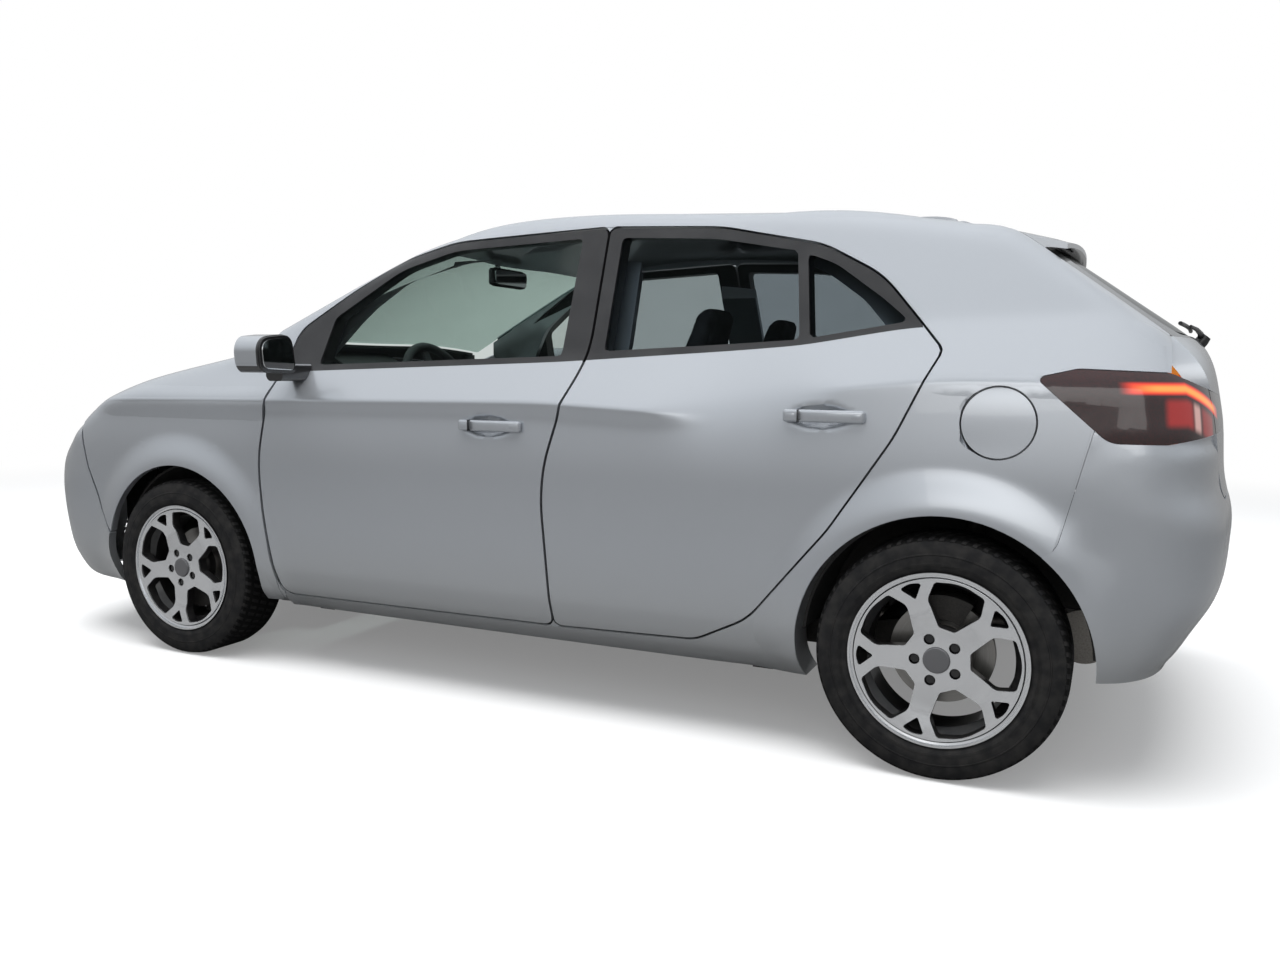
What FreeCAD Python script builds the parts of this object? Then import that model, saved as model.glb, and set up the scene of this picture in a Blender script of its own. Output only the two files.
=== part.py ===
import FreeCAD, Part
import math
import os
from FreeCAD import Vector

# Frame: +X forward, +Y to the left, +Z up, origin on the ground under the middle of the car, millimetres

# Overall sizes
LENGTH = 4113
WIDTH = 1797
HEIGHT = 1510
WHEELBASE = 2570
REAR_OVERHANG = 675
GROUND_CLEARANCE = 150

# Wheels
AXLE_HEIGHT = 308
TYRE_RADIUS = 308
TYRE_WIDTH = 195
TRACK = 1550
RIM_LIP_RADIUS = 220
ARCH_RADIUS = 360
DISC_RADIUS = 130
DISC_THICKNESS = 20
BRAKE_GAP = 3
LUG_CIRCLE_RADIUS = 54
LUG_RADIUS = 11
SPOKES = 5

# Joint limits, in degrees, used to place hinges and their room
DOOR_THICKNESS = 60
DOOR_SWING_ROOM = 28
FRAME_DEPTH = 114
SHUT_GAP = 6
DOOR_FRONT_GAP = 8
HINGE_SET_BACK = 50
HINGE_DEPTH = 14
PIN_RADIUS = 4.5
PIN_CLEARANCE = 0.3
KNUCKLE_RADIUS = 8
KNUCKLE_CLEARANCE = 1.2
HINGE_ROOM = 17
HINGE_HALF_HEIGHT = 30
DOOR_EDGE_SWEEP = 68

# Panels
ROOF_THICKNESS = 24
BONNET_THICKNESS = 26
FENDER_THICKNESS = 22
BUMPER_THICKNESS = 28
TAILGATE_THICKNESS = 46
GLASS_THICKNESS = 5
GLASS_SET_IN = 6
SEAM = 0.3
FLOOR_THICKNESS = 20
SHOULDER_UNDERCUT = 0.35
FLARE = 24

FRONT_AXLE_X = -LENGTH / 2 + REAR_OVERHANG + WHEELBASE
REAR_AXLE_X = -LENGTH / 2 + REAR_OVERHANG
WHEEL_Y = TRACK / 2
RIM_FACE_Y = WHEEL_Y + TYRE_WIDTH / 2


# The body's shape is one formula: the overlap of a side, a top, a nose and a tail, with rounded meetings

def bend(t, r):
    """Zero before t = 0 and t after it, with the corner rounded over about r."""
    return (t + math.hypot(t, r)) / 2


def ease(t):
    """Goes smoothly from 0 to 1 as t does."""
    t = min(max(t, 0), 1)
    return t * t * (3 - 2 * t)


def soft_line(points):
    """A function through points (t, value, corner rounding), straight between them."""
    def value(t):
        t0, v0 = points[0][:2]
        slope = (points[1][1] - v0) / (points[1][0] - t0)
        total = v0 + slope * (t - t0)
        for (ta, va, r), (tb, vb, _) in zip(points[1:], points[2:]):
            after = (vb - va) / (tb - ta)
            total += (after - slope) * bend(t - ta, r)
            slope = after
        return total
    return value


def soft_max(a, b, h):
    m = max(h - abs(a - b), 0) / h
    return max(a, b) + m ** 3 * h / 6


# Lines of the side: heights of the shoulder crease and of the belt along the car
shoulder_line = soft_line([(-1900, 990, 0), (-1360, 999, 80), (-950, 955, 90), (-730, 893, 60),
                           (-260, 917, 90), (700, 903, 0)])
belt_line = soft_line([(-1700, 1160, 0), (-1260, 1142, 60), (-990, 1095, 60), (-277, 1048, 60), (900, 1004, 0)])
# The middle of the roof, screens and bonnet, from the tail to the nose, as (x, z, corner rounding)
TAIL_X = -LENGTH / 2
NOSE_X = LENGTH / 2
top_line = soft_line([(TAIL_X - 80, 1000, 0), (TAIL_X + 84, 1098, 12), (TAIL_X + 512, 1406, 16),
                      (TAIL_X + 950, HEIGHT - 32, 150), (-250, HEIGHT + 3, 220), (60, HEIGHT - 2, 180),
                      (405, HEIGHT - 66, 120), (1175, 1078, 30), (1600, 1003, 120), (1800, 932, 90),
                      (1930, 842, 50), (2060, 716, 0)])
nose_line = soft_line([(180, NOSE_X - 95, 0), (260, NOSE_X - 40, 25), (440, NOSE_X + 1, 60),
                       (560, NOSE_X + 7, 40), (640, NOSE_X - 9, 40), (740, NOSE_X - 50, 30), (860, NOSE_X - 120, 0)])
tail_line = soft_line([(230, TAIL_X + 150, 0), (370, TAIL_X + 70, 30), (480, TAIL_X + 3, 40),
                       (670, TAIL_X - 5, 30), (735, TAIL_X + 22, 12), (900, TAIL_X + 34, 30),
                       (1000, TAIL_X + 54, 30), (1095, TAIL_X + 80, 20), (1300, TAIL_X + 110, 0)])


def half_width(x, z):
    """The side's distance from the middle plane, without the corners at nose and tail."""
    crease = shoulder_line(x)
    belt = max(belt_line(x), crease + 60)
    sharp = ease((x + 850) / 300)
    haunch = ease((-900 - x) / 250)
    rounding = 4 + 60 * (1 - max(sharp, haunch))
    under = SHOULDER_UNDERCUT * sharp
    y = WIDTH / 2 - 65.5 + (z - 260)
    y -= 0.75 * bend(z - 260, 20)
    y -= 0.20 * bend(z - 345, 14)
    y -= 0.15 * bend(z - 740, 70)
    y += under * bend(z - crease + 42, 14)
    y -= (0.65 + under) * bend(z - crease, rounding)
    y += 0.30 * bend(z - belt, 15)
    y -= 9 * (x / 1200) ** 2
    for axle in (FRONT_AXLE_X, REAR_AXLE_X):
        reach = math.hypot(x - axle, z - AXLE_HEIGHT)
        y += FLARE * (1 - ease((reach - ARCH_RADIUS) / 120))
    return y


def field(x, y, z):
    """Below zero inside the body."""
    y = abs(y)
    wrap = ease((x + 700) / 1000)
    swept = x + (0.28 * wrap - 0.16 * (1 - wrap)) * y * y / 1000
    side = y - half_width(x, z)
    top = z - top_line(swept) + 0.055 * y * y / 1000
    nose = x - nose_line(z) + 0.15 * y * y / 1000
    tail = tail_line(z) + 0.13 * y * y / 1000 - x
    corner = soft_max(soft_max(side, nose, 400), tail, 280)
    return soft_max(corner, top, 70)


def hit(start, way, reach=1500):
    """The point where a ray from inside the body leaves it."""
    near, far = 0, reach
    for _ in range(26):
        mid = (near + far) / 2
        p = start + way * mid
        if field(p.x, p.y, p.z) > 0:
            far = mid
        else:
            near = mid
    return start + way * near


def outward(p):
    d = 1.0
    slope = Vector(field(p.x + d, p.y, p.z) - field(p.x - d, p.y, p.z),
                   field(p.x, p.y + d, p.z) - field(p.x, p.y - d, p.z),
                   field(p.x, p.y, p.z + d) - field(p.x, p.y, p.z - d))
    return slope.normalize()


# Building blocks

# Where the rays that find the side start from, in each cross-section
FAN_Y = 250
FAN_Z = 640

def spread(low, high, count):
    return [low + (high - low) * i / (count - 1) for i in range(count)]


def mirror(shape):
    return shape.mirror(Vector(0, 0, 0), Vector(0, 1, 0))


def both_sides(shape):
    return [shape, mirror(shape)]


def surface(grid):
    s = Part.BSplineSurface()
    s.interpolate(grid)
    return s


def between(outer, inner):
    """A solid between two like grids of points."""
    a, b = surface(outer), surface(inner)
    faces = [a.toShape(), b.toShape()]
    u0, u1, v0, v1 = a.bounds()
    p0, p1, q0, q1 = b.bounds()
    for mine, other in (((a.uIso(u0)), b.uIso(p0)), (a.uIso(u1), b.uIso(p1)),
                        (a.vIso(v0), b.vIso(q0)), (a.vIso(v1), b.vIso(q1))):
        faces.append(Part.makeRuledSurface(mine.toShape(), other.toShape()))
    shell = Part.Shell(faces)
    shell.sewShape()
    solid = Part.Solid(shell)
    if solid.Volume < 0:
        solid.reverse()
    return solid


def slab(grid, push):
    """A wall of the body's skin: the grid and a copy moved by a vector, or inwards by a depth."""
    if isinstance(push, Vector):
        inner = [[p + push for p in row] for row in grid]
    else:
        inner = [[p - outward(p) * push for p in row] for row in grid]
    return between(grid, inner)


def side_grid(x0, x1, low, high, columns, rows, set_in=0):
    """Points of the left side, fanned out in each cross-section between two angles from the level."""
    fan = [math.radians(a) for a in spread(low, high, rows)]
    return [[hit(Vector(x, FAN_Y, FAN_Z), Vector(0, math.cos(a), math.sin(a))) - Vector(0, set_in, 0) for a in fan]
            for x in spread(x0, x1, columns)]


def top_grid(x0, x1, half, columns, rows, set_in=0):
    return [[hit(Vector(x, y, 600), Vector(0, 0, 1)) - Vector(0, 0, set_in) for y in spread(-half, half, rows)]
            for x in spread(x0, x1, columns)]


def end_grid(centre_x, z0, z1, angle, columns, rows, way):
    """Points round the nose (way 1) or tail (way -1), fanned out from the middle plane."""
    fan = [math.radians(a) for a in spread(-angle, angle, columns)]
    return [[hit(Vector(centre_x, 0, z), Vector(way * math.cos(a), math.sin(a), 0)) for z in spread(z0, z1, rows)]
            for a in fan]


def offset_corners(points, grow):
    """Moves each edge of a closed outline outwards by grow; points are (a, b, corner radius)."""
    area = sum(p[0] * q[1] - q[0] * p[1] for p, q in zip(points, points[1:] + points[:1]))
    turn = 1 if area > 0 else -1
    moved = []
    for before, here, after in zip(points[-1:] + points[:-1], points, points[1:] + points[:1]):
        d1 = Vector(here[0] - before[0], here[1] - before[1], 0).normalize()
        d2 = Vector(after[0] - here[0], after[1] - here[1], 0).normalize()
        n1 = Vector(d1.y, -d1.x, 0) * turn
        n2 = Vector(d2.y, -d2.x, 0) * turn
        shift = (n1 + n2) * (grow / (1 + n1.dot(n2)))
        convex = turn * (d1.x * d2.y - d1.y * d2.x) > 0
        radius = max(here[2] + (grow if convex else -grow), 1)
        moved.append((here[0] + shift.x, here[1] + shift.y, radius))
    return moved


def loop(points, place):
    """A closed wire with rounded corners; place turns (a, b) into a point of space."""
    starts, ends, mids = [], [], []
    count = len(points)
    flat = [Vector(p[0], p[1], 0) for p in points]
    for i in range(count):
        here = flat[i]
        back = flat[i - 1] - here
        ahead = flat[(i + 1) % count] - here
        half = back.getAngle(ahead) / 2
        room = min(back.Length, ahead.Length) * 0.49
        cut = min(points[i][2] / math.tan(half), room)
        radius = cut * math.tan(half)
        back.normalize()
        ahead.normalize()
        starts.append(here + back * cut)
        ends.append(here + ahead * cut)
        middle = (back + ahead).normalize() * (radius / math.sin(half) - radius)
        mids.append(here + middle)
    edges = []
    for i in range(count):
        a, m, b = (place(v.x, v.y) for v in (starts[i], mids[i], ends[i]))
        edges.append(Part.Arc(a, m, b).toShape())
        c = place(starts[(i + 1) % count].x, starts[(i + 1) % count].y)
        if b.distanceToPoint(c) > 0.01:
            edges.append(Part.LineSegment(b, c).toShape())
    return Part.Wire(edges)


def side_prism(points, low=0, high=1100, grow=0):
    """An outline drawn on the side view, run through the left half of the car."""
    wire = loop(offset_corners(points, grow), lambda a, b: Vector(a, low, b))
    return Part.Face(wire).extrude(Vector(0, high - low, 0))


def plan_prism(points, low=0, high=1800, grow=0):
    wire = loop(offset_corners(points, grow), lambda a, b: Vector(a, b, low))
    return Part.Face(wire).extrude(Vector(0, 0, high - low))


def end_prism(points, low, high, grow=0):
    """An outline drawn on the front or rear view as (y, z, radius)."""
    wire = loop(offset_corners(points, grow), lambda a, b: Vector(low, a, b))
    return Part.Face(wire).extrude(Vector(high - low, 0, 0))


def box(x0, x1, y0, y1, z0, z1):
    return Part.makeBox(x1 - x0, y1 - y0, z1 - z0, Vector(x0, y0, z0))


def rod(start, end, radius):
    way = end - start
    return Part.makeCylinder(radius, way.Length, start, way)


def wheel_arch(axle_x, radius=ARCH_RADIUS, low=520, high=1100):
    return Part.makeCylinder(radius, high - low, Vector(axle_x, low, AXLE_HEIGHT), Vector(0, 1, 0))


def turned(profile, centre):
    """A body of revolution about the Y axis through a centre; profile is (radius, y) points."""
    points = [Vector(r, y, 0) for r, y in profile]
    face = Part.Face(Part.makePolygon(points + points[:1]))
    solid = face.revolve(Vector(0, 0, 0), Vector(0, 1, 0), 360)
    solid.translate(centre)
    return solid


# Outlines of the side, drawn as (x, z, corner radius)
FRONT_DOOR = [(748, 252, 45), (824, 640, 700), (776, 920, 300), (738, 1132, 90), (557, 1263, 500),
              (400, 1360, 260), (200, 1412, 400), (-343, 1436, 25), (-363, 1046, 500), (-256, 690, 600),
              (-286, 262, 30)]
REAR_DOOR = [(-286, 262, 30), (-256, 690, 600), (-363, 1046, 500), (-343, 1436, 25), (-700, 1422, 500),
             (-1010, 1356, 300), (-1180, 1265, 300), (-1356, 1068, 25), (-1255, 850, 500), (-1100, 610, 400),
             (-885, 353, 200), (-730, 275, 120)]
FRONT_WINDOW = [(618, 1018, 14), (604, 1172, 30), (385, 1326, 260), (190, 1384, 400), (-262, 1404, 14),
                (-276, 1050, 14)]
REAR_WINDOW = [(-408, 1064, 14), (-392, 1402, 14), (-690, 1388, 500), (-935, 1342, 14), (-978, 1096, 14)]
QUARTER_WINDOW = [(-1006, 1100, 10), (-966, 1332, 10), (-1050, 1300, 200), (-1185, 1205, 200), (-1262, 1142, 12)]
FRONT_APERTURE = [(690, 330, 60), (736, 640, 700), (690, 1010, 300), (560, 1190, 300), (400, 1298, 260),
                  (200, 1352, 400), (-280, 1376, 30), (-300, 1046, 300), (-200, 690, 600), (-218, 330, 60)]
REAR_APERTURE = [(-364, 330, 60), (-344, 690, 600), (-444, 1046, 300), (-424, 1374, 30), (-700, 1360, 500),
                 (-985, 1300, 300), (-1120, 1205, 200), (-1240, 1075, 30), (-1180, 870, 400), (-1030, 640, 300),
                 (-840, 410, 150), (-700, 340, 80)]
FUEL_FLAP_X = -1498
FUEL_FLAP_Z = 895
FUEL_FLAP_RADIUS = 84
BONNET = [(1180, 0, 900), (1095, 560, 300), (990, 735, 25), (1500, 690, 900), (1800, 590, 200), (1905, 380, 250),
          (1945, 0, 900)]
HEADLAMP = [(590, 655, 60), (790, 700, 60), (830, 800, 60), (700, 880, 80), (560, 800, 60)]
TAIL_LAMP = [(-1575, 1003, 10), (-1665, 1024, 60), (-1860, 1016, 40), (-2010, 950, 20), (-1990, 880, 30),
             (-1860, 855, 60), (-1740, 855, 60)]
# The tailgate's left half, seen from behind as (y, z, corner radius)
TAILGATE_HALF = [(565, 1490, 5), (585, 1340, 300), (640, 1095, 300), (668, 1000, 200), (640, 850, 200),
                 (560, 712, 60)]
REAR_WINDOW_HALF = [(490, 1336, 30), (560, 1112, 40)]
# The tailgate turns about a line under the roof, ahead of the lid's front edge
TAILGATE_EDGE_X = -1350
TAILGATE_HINGE_X = TAILGATE_EDGE_X + 50
TAILGATE_HINGE_DROP = 20
TAILGATE_HINGE_Y = 300
# The bonnet turns about a line under the windscreen's lower corners
BONNET_HINGE_X = 895
BONNET_HINGE_Z = 952
BONNET_HINGE_Y = 690


def hinge_point(outline_x, z_low, z_high):
    """The hinge line of a door: set back from its front edge and just under its widest skin."""
    widest = max(hit(Vector(outline_x, 0, z), Vector(0, 1, 0)).y for z in spread(z_low, z_high, 5))
    return Vector(outline_x - HINGE_SET_BACK, widest - HINGE_DEPTH, 0)


FLAP_THICKNESS = 14
FLAP_WELL_DEPTH = 45
FLAP_SWING_ROOM = 3
FLAP_HINGE = hit(Vector(FUEL_FLAP_X + FUEL_FLAP_RADIUS - 12, 0, FUEL_FLAP_Z), Vector(0, 1, 0)) - Vector(0, 9, 0)
HINGE_HEIGHTS = (600, 780)
FRONT_HINGE = hinge_point(795, *HINGE_HEIGHTS)
REAR_HINGE = hinge_point(-289, *HINGE_HEIGHTS)


def hinge_leaf(axis, z):
    """The fixed half of a door hinge: a knuckle on the pin with its leaf back to the pillar."""
    half = HINGE_HALF_HEIGHT - 6
    knuckle = Part.makeCylinder(KNUCKLE_RADIUS, 2 * half, Vector(axis.x, axis.y, z - half))
    skin = hit(Vector(axis.x, 0, z), Vector(0, 1, 0)).y
    leaf = box(axis.x - 7, axis.x + 7, skin - DOOR_THICKNESS - DOOR_SWING_ROOM - 4, axis.y, z - half, z + half)
    bore = Part.makeCylinder(PIN_RADIUS + PIN_CLEARANCE, 2 * half + 2, Vector(axis.x, axis.y, z - half - 1))
    return knuckle.fuse(leaf).cut(bore)


def hinge_pocket(axis, front_x, z):
    """The room in a door's front edge round its hinge."""
    return box(axis.x - HINGE_ROOM, front_x + 60, axis.y - 90, axis.y + KNUCKLE_RADIUS + KNUCKLE_CLEARANCE,
               z - HINGE_HALF_HEIGHT, z + HINGE_HALF_HEIGHT).common(
        Part.makeCylinder(200, 2 * HINGE_HALF_HEIGHT, Vector(axis.x, axis.y, z - HINGE_HALF_HEIGHT)))


def hinge_pin(axis, z):
    long = HINGE_HALF_HEIGHT + 8
    return Part.makeCylinder(PIN_RADIUS, 2 * long, Vector(axis.x, axis.y, z - long))


def handle(x, z):
    """A pull bar on two feet over a scooped cup."""
    skin = hit(Vector(x, 0, z), Vector(0, 1, 0)).y
    length = 215
    bar = box(x - length / 2, x + length / 2, skin + 20, skin + 38, z - 14, z + 14)
    bar = bar.makeFillet(8, bar.Edges)
    feet = [box(x + s * (length / 2 - 34) - 16, x + s * (length / 2 - 34) + 16, skin - 8, skin + 28, z - 10, z + 10)
            for s in (-1, 1)]
    return bar.fuse(feet)


def door(outline, windows, hinge, front_x, box_x, handle_x, handle_z):
    """One left door: its whole thickness with the window cut, the hinge pins and the handle."""
    x0, x1 = box_x
    wall = slab(side_grid(x0, x1, -38, 66, 13, 26), Vector(0, -DOOR_THICKNESS, 0))
    solid = wall.common(side_prism(outline, grow=-SHUT_GAP / 2)).cut(roof_zone(SHUT_GAP))
    if outline is REAR_DOOR:
        solid = solid.cut(side_prism(FRONT_DOOR, grow=DOOR_FRONT_GAP - SHUT_GAP / 2))
    for window in windows:
        solid = solid.cut(side_prism(window))
    edge = box(hinge.x, hinge.x + 150, hinge.y - 250, hinge.y, 470, 890)
    solid = solid.cut(edge.cut(Part.makeCylinder(DOOR_EDGE_SWEEP, 600, Vector(hinge.x, hinge.y, 400))))
    for z in HINGE_HEIGHTS:
        solid = solid.cut(hinge_pocket(hinge, front_x, z)).fuse(hinge_pin(hinge, z))
    return solid.fuse(handle(handle_x, handle_z))


def side_glass(windows, x0, x1):
    wall = slab(side_grid(x0, x1, 30, 66, 12, 10, GLASS_SET_IN), Vector(0, -GLASS_THICKNESS, 0))
    return [wall.common(side_prism(window)) for window in windows]


def side_frame():
    """The left side: sill, pillars, roof rail and rear quarter, rebated for the doors."""
    x0, x1 = -1860, 930
    wall = slab(side_grid(x0, x1, -44, 71, 30, 27), Vector(0, -FRAME_DEPTH, 0))
    for beyond in (box(905, 1300, 0, 1100, 0, 1800), box(-2300, -1640, 0, 1100, 0, 560), box(-2300, 1300, 0, 1100, 0, 205)):
        wall = wall.cut(beyond)
    rebate_depth = DOOR_THICKNESS + DOOR_SWING_ROOM
    grid = side_grid(-1500, x1 + 40, -46, 72.5, 30, 27)
    lifted = [[p + Vector(0, 60, 0) for p in row] for row in grid]
    front_room = slab(lifted, Vector(0, -rebate_depth - 60, 0))
    for outline in (FRONT_DOOR, REAR_DOOR):
        wall = wall.cut(front_room.common(side_prism(outline, grow=SHUT_GAP / 2)))
    near = [[p + Vector(0, 60, 0) for p in row] for row in side_grid(745, 990, -46, 72.5, 8, 27)]
    fender_room = slab(near, Vector(0, -FENDER_THICKNESS - 84, 0)).common(box(760, 980, 0, 1100, 100, 1300))
    lamp, tail = side_prism(TAIL_LAMP, 380, 1100, 1), end_prism(whole(TAILGATE_HALF), -2200, TAILGATE_EDGE_X + 5, grow=SHUT_GAP / 2)
    glass = plan_prism([(250, -551.2, 1), (250, 551.2, 1), (972, 656.4, 1), (972, -656.4, 1)], 900, 1700)
    apertures = [side_prism(FRONT_APERTURE), side_prism(REAR_APERTURE)]
    for tool in [fender_room, lamp, tail, box(ROOF_REAR_X - 20, 440, 0, ROOF_HALF_WIDTH + SEAM, 1300, 1700), glass, rear_bumper_zone(1),
                 wheel_arch(FRONT_AXLE_X, ARCH_RADIUS + 1)] + apertures:
        wall = wall.cut(tool)
    wall = wall.cut(wheel_arch(REAR_AXLE_X)).cut(box(868, 930, 600, 745, 1000, 1200)).cut(box(880, 930, 600, 701, 930, 1010))
    swung = tailgate_shell(3)
    for turn in (1.5, 1.5, 1.5, 2, 3, 4, 6, 10):
        swung.rotate(tailgate_axis(), Vector(0, 1, 0), turn)
        wall = wall.cut(swung)
    leaves = [hinge_leaf(axis, z) for axis in (FRONT_HINGE, REAR_HINGE) for z in HINGE_HEIGHTS]
    return wall.fuse(leaves + [bonnet_pin()])


def quarter_with_flap(frame):
    """The left side frame with the fuel flap's round well and the flap's hinge leaf in it."""
    well = Part.makeCylinder(FUEL_FLAP_RADIUS + SHUT_GAP, 400, Vector(FUEL_FLAP_X, FLAP_HINGE.y - FLAP_WELL_DEPTH, FUEL_FLAP_Z),
                             Vector(0, 1, 0))
    knuckle = Part.makeCylinder(4.5, 20, FLAP_HINGE - Vector(0, 0, 10))
    leaf = box(FLAP_HINGE.x - 3, FLAP_HINGE.x + 3, FLAP_HINGE.y - FLAP_WELL_DEPTH - 1, FLAP_HINGE.y,
               FUEL_FLAP_Z - 10, FUEL_FLAP_Z + 10)
    bore = Part.makeCylinder(2.5 + PIN_CLEARANCE, 24, FLAP_HINGE - Vector(0, 0, 12))
    edge = flap_lid(FLAP_SWING_ROOM).common(box(FLAP_HINGE.x - 40, FLAP_HINGE.x + 40, 500, 1000, 780, 1010))
    frame = frame.cut(well)
    for angle in (12, 24, 36, 48, 60, 72, 84, 96):
        swung = edge.copy()
        swung.rotate(FLAP_HINGE, Vector(0, 0, 1), -angle)
        frame = frame.cut(swung)
    return frame.fuse(knuckle.fuse(leaf)).cut(bore)


def flap_lid(grow=0):
    skin = slab(side_grid(-1640, -1360, 8, 40, 6, 6), Vector(0, -FLAP_THICKNESS, 0))
    round_cut = Part.makeCylinder(FUEL_FLAP_RADIUS + grow, 500, Vector(FUEL_FLAP_X, 500, FUEL_FLAP_Z), Vector(0, 1, 0))
    return skin.common(round_cut)


def fuel_flap():
    """A round lid flush with the quarter, notched on its inside for the hinge pin."""
    lid = flap_lid()
    notch = box(FLAP_HINGE.x - 9, FLAP_HINGE.x + 40, FLAP_HINGE.y - 30, FLAP_HINGE.y + 6,
                FUEL_FLAP_Z - 13, FUEL_FLAP_Z + 13)
    return lid.cut(notch).fuse(Part.makeCylinder(2.5, 34, FLAP_HINGE - Vector(0, 0, 17)))


def fender():
    """The left front wing, from the door to the nose, rolled over to the bonnet's edge."""
    rows = []
    for x in spread(730, 1960, 17):
        rows.append([hit(Vector(x, 300, 640), Vector(0, math.cos(a), math.sin(a)))
                     for a in (math.radians(d) for d in spread(-44, 62, 18))])
    wall = slab(rows, Vector(0, -FENDER_THICKNESS, -FENDER_THICKNESS * 0.6))
    outline = [(764, 225, 20), (764, 1010, 200), (905, 1075, 20), (1500, 1060, 100), (1740, 960, 60),
               (1712, 830, 60), (1660, 640, 40), (1590, 480, 30), (1400, 250, 30), (930, 225, 10)]
    wall = wall.common(side_prism(outline)).cut(wheel_arch(FRONT_AXLE_X)).fuse(fender_foot())
    return wall.cut([bonnet_zone(SHUT_GAP), side_prism(FRONT_DOOR, grow=DOOR_FRONT_GAP - SHUT_GAP / 2), headlamp_prism(1),
                     plan_prism([(700, 0, 1), (700, 742, 1), (1000, 742, 1), (1060, 734, 1), (1110, 560, 1), (1200, 0, 1)], 600, 1300)])


def fender_foot():
    """A foot that seats the wing on the side frame behind it."""
    skin = max(hit(Vector(x, 0, z), Vector(0, 1, 0)).y for x in (842, 878) for z in (590, 606))
    seat = skin - FENDER_THICKNESS - 24 + SEAM
    return box(842, 878, seat, seat + 36, 590, 606)


def bonnet_zone(grow):
    outline = BONNET + [(x, -y, r) for x, y, r in reversed(BONNET[1:-1])]
    return plan_prism(outline, 600, 1300, grow)


def bonnet():
    wall = slab(top_grid(940, 1975, 770, 12, 17), Vector(0, 0, -BONNET_THICKNESS))
    return wall.common(bonnet_zone(0)).fuse(both_sides(bonnet_arm()))


def bonnet_arm():
    """A gooseneck from under the bonnet's rear corner back to its pivot."""
    x, z = BONNET_HINGE_X, BONNET_HINGE_Z
    y = BONNET_HINGE_Y
    top = hit(Vector(x + 210, y, 600), Vector(0, 0, 1)).z - BONNET_THICKNESS / 2
    arm = Part.Face(loop([(x - 12, z - 12, 11), (x - 12, z + 12, 11), (x + 100, z + 12, 20), (x + 200, top, 4),
                          (x + 220, top, 4), (x + 220, z - 10, 10), (x + 100, z - 12, 20)],
                         lambda a, b: Vector(a, y - 8, b))).extrude(Vector(0, 16, 0))
    return arm.cut(Part.makeCylinder(PIN_RADIUS + PIN_CLEARANCE, 20, Vector(x, y - 10, z), Vector(0, 1, 0)))


def bonnet_pin():
    """The fixed pin that carries the bonnet's arm, on its bracket from the side frame."""
    x, y, z = BONNET_HINGE_X, BONNET_HINGE_Y, BONNET_HINGE_Z
    return Part.makeCylinder(PIN_RADIUS, 52, Vector(x, y - 12, z), Vector(0, 1, 0)).fuse(
        box(x - 20, x + 9, y + 12, y + 42, z - 60, z + 20))


ROOF_FRONT_X = 425
ROOF_REAR_X = TAILGATE_EDGE_X + DOOR_FRONT_GAP
ROOF_HALF_WIDTH = 545


def roof():
    wall = slab(top_grid(ROOF_REAR_X - 20, ROOF_FRONT_X + 30, ROOF_HALF_WIDTH + 20, 14, 13), Vector(0, 0, -ROOF_THICKNESS))
    solid = wall.common(roof_zone(0))
    axis = tailgate_axis()
    for y in (TAILGATE_HINGE_Y, -TAILGATE_HINGE_Y):
        low, high = (hit(Vector(x, y, 600), Vector(0, 0, 1)).z - 2.5 for x in (ROOF_REAR_X - 5, axis.x + 16))
        pocket = [(ROOF_REAR_X - 5, 1300, 1), (ROOF_REAR_X - 5, low, 1), (axis.x + 16, high, 1), (axis.x + 16, 1300, 1)]
        solid = solid.cut(profile_bar(pocket, y - 14, y + 14))
        solid = solid.fuse(Part.makeCylinder(PIN_RADIUS, 36, axis + Vector(0, y - 18, 0), Vector(0, 1, 0)))
    return solid


def roof_zone(grow):
    front = [(ROOF_REAR_X, -ROOF_HALF_WIDTH, 1), (ROOF_FRONT_X - 120, -ROOF_HALF_WIDTH, 1), (ROOF_FRONT_X, 0, 900),
             (ROOF_FRONT_X - 120, ROOF_HALF_WIDTH, 1), (ROOF_REAR_X, ROOF_HALF_WIDTH, 1)]
    return plan_prism(front, 1300, 1700, grow)


def windscreen():
    wall = slab(top_grid(280, 1160, 660, 12, 13, 2), Vector(0, 0, -GLASS_THICKNESS * 1.2))
    return wall.common(windscreen_zone(0))


def windscreen_zone(grow):
    outline = [(ROOF_FRONT_X - 112, -560, 10), (ROOF_FRONT_X + 6, 0, 900), (ROOF_FRONT_X - 112, 560, 10),
               (965, 655, 10), (1105, 0, 1100), (965, -655, 10)]
    return plan_prism(outline, 900, 1700, grow)


def whole(half):
    """A closed outline from its left half, drawn from the top middle round to the bottom middle."""
    return half + [(-y, z, r) for y, z, r in reversed(half)]


def moved(grid, shift):
    return [[p + shift for p in row] for row in grid]


def tail_grid(half, low, high, columns, rows, set_in=0):
    """Points of the tail and the roof's end, fanned out upwards from level for each y."""
    fan = [math.radians(a) for a in spread(low, high, rows)]
    grid = [[hit(Vector(-1250, y, 800), Vector(-math.cos(a), 0, math.sin(a))) for a in fan]
            for y in spread(-half, half, columns)]
    return [[p - outward(p) * set_in for p in row] for row in grid] if set_in else grid


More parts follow.
